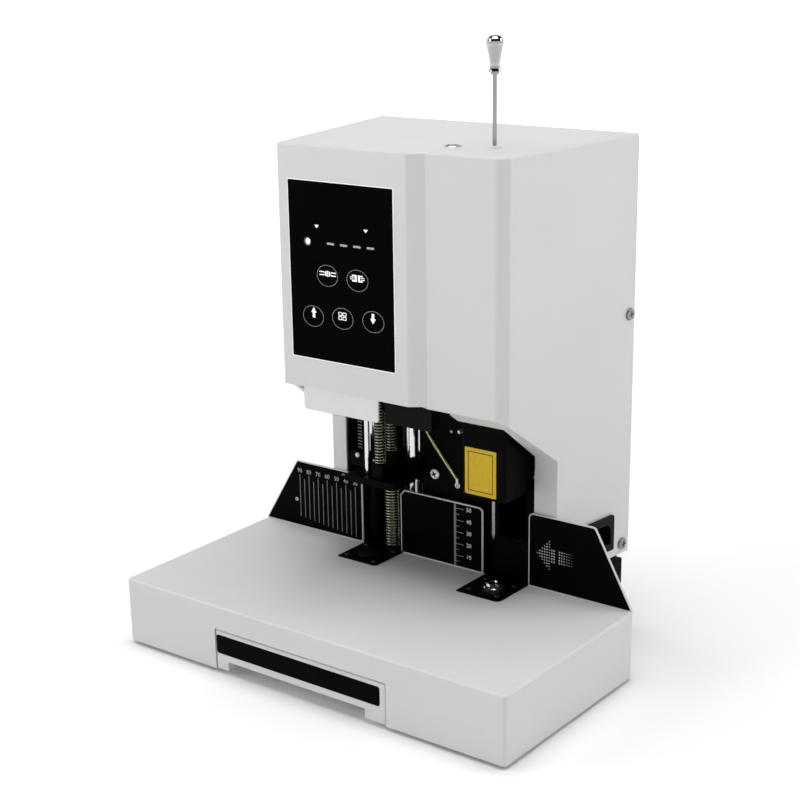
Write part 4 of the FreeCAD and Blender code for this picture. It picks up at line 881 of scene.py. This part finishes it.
# world: a band of light low round the sweep and an overhead field
world = bpy.data.worlds.new("studio")
scene.world = world
world.use_nodes = True
wt = world.node_tree
bg = wt.nodes["Background"]
tc = wt.nodes.new("ShaderNodeTexCoord")
sep = wt.nodes.new("ShaderNodeSeparateXYZ")
wt.links.new(tc.outputs["Generated"], sep.inputs["Vector"])
ramp = wt.nodes.new("ShaderNodeValToRGB")
el = ramp.color_ramp.elements
el[0].position, el[0].color = 0.0, (0.336, 0.336, 0.336, 1)
el[1].position, el[1].color = 0.97, (0.80, 0.80, 0.80, 1)
for pos, v in ((0.12, 0.29), (0.30, 0.26), (0.38, 0.01), (0.89, 0.01)):
    e = el.new(pos)
    e.color = (v, v, v, 1)
wt.links.new(sep.outputs["Z"], ramp.inputs["Fac"])
wt.links.new(ramp.outputs["Color"], bg.inputs["Color"])
bg.inputs["Strength"].default_value = 3.0


def area_light(name, at, target, size, energy, size_y=None):
    data = bpy.data.lights.new(name, "AREA")
    data.energy = energy
    data.size = size
    if size_y:
        data.shape = "RECTANGLE"
        data.size_y = size_y
    ob = bpy.data.objects.new(name, data)
    bpy.context.scene.collection.objects.link(ob)
    ob.location = at
    ob.rotation_mode = "QUATERNION"
    ob.rotation_quaternion = (Vector(target) - Vector(at)).to_track_quat("-Z", "Y")
    return ob


def around(azimuth, elevation, reach):
    a, e = math.radians(azimuth), math.radians(elevation)
    return Vector((math.cos(a) * math.cos(e), math.sin(a) * math.cos(e), math.sin(e))) * reach + Vector((0.0, 0.0, 0.2))


area_light("front_left_softbox", around(-135, 30, 3.0), (0.0, 0.0, 0.2), 1.2, 17.5)
area_light("left_softbox", around(170, 30, 3.0), (0.0, 0.0, 0.2), 1.2, 9.0)
area_light("right_rear_softbox", around(45, 25, 3.0), (0.0, 0.0, 0.2), 1.2, 18.0)
area_light("top_softbox", (0.0, 0.0, 2.4), (0.0, 0.0, 0.2), 1.6, 26.0)

# ====================================================================== CAMERA
yaw, pitch, roll = math.radians(39.562), math.radians(17.57), math.radians(-1.677)
d = Vector((-math.sin(yaw) * math.cos(pitch), math.cos(yaw) * math.cos(pitch), -math.sin(pitch)))
r = Vector((math.cos(yaw), math.sin(yaw), 0.0))
u = r.cross(d)
right_v = r * math.cos(roll) + u * math.sin(roll)
up_v = u * math.cos(roll) - r * math.sin(roll)
cam_data = bpy.data.cameras.new("camera")
cam_data.sensor_width = 36.0
cam_data.lens = 1677.0 * 36.0 / 800.0
cam_data.shift_x = (400.0 - 324.5) / 800.0
cam_data.shift_y = (435.26 - 400.0) / 800.0
cam_data.clip_start, cam_data.clip_end = 0.05, 100.0
cam = bpy.data.objects.new("camera", cam_data)
scene.collection.objects.link(cam)
m4 = Matrix.Identity(4)
for i in range(3):
    m4[i][0], m4[i][1], m4[i][2] = right_v[i], up_v[i], -d[i]
m4[0][3], m4[1][3], m4[2][3] = 0.73898, -0.99380, 0.56616
cam.matrix_world = m4
scene.camera = cam
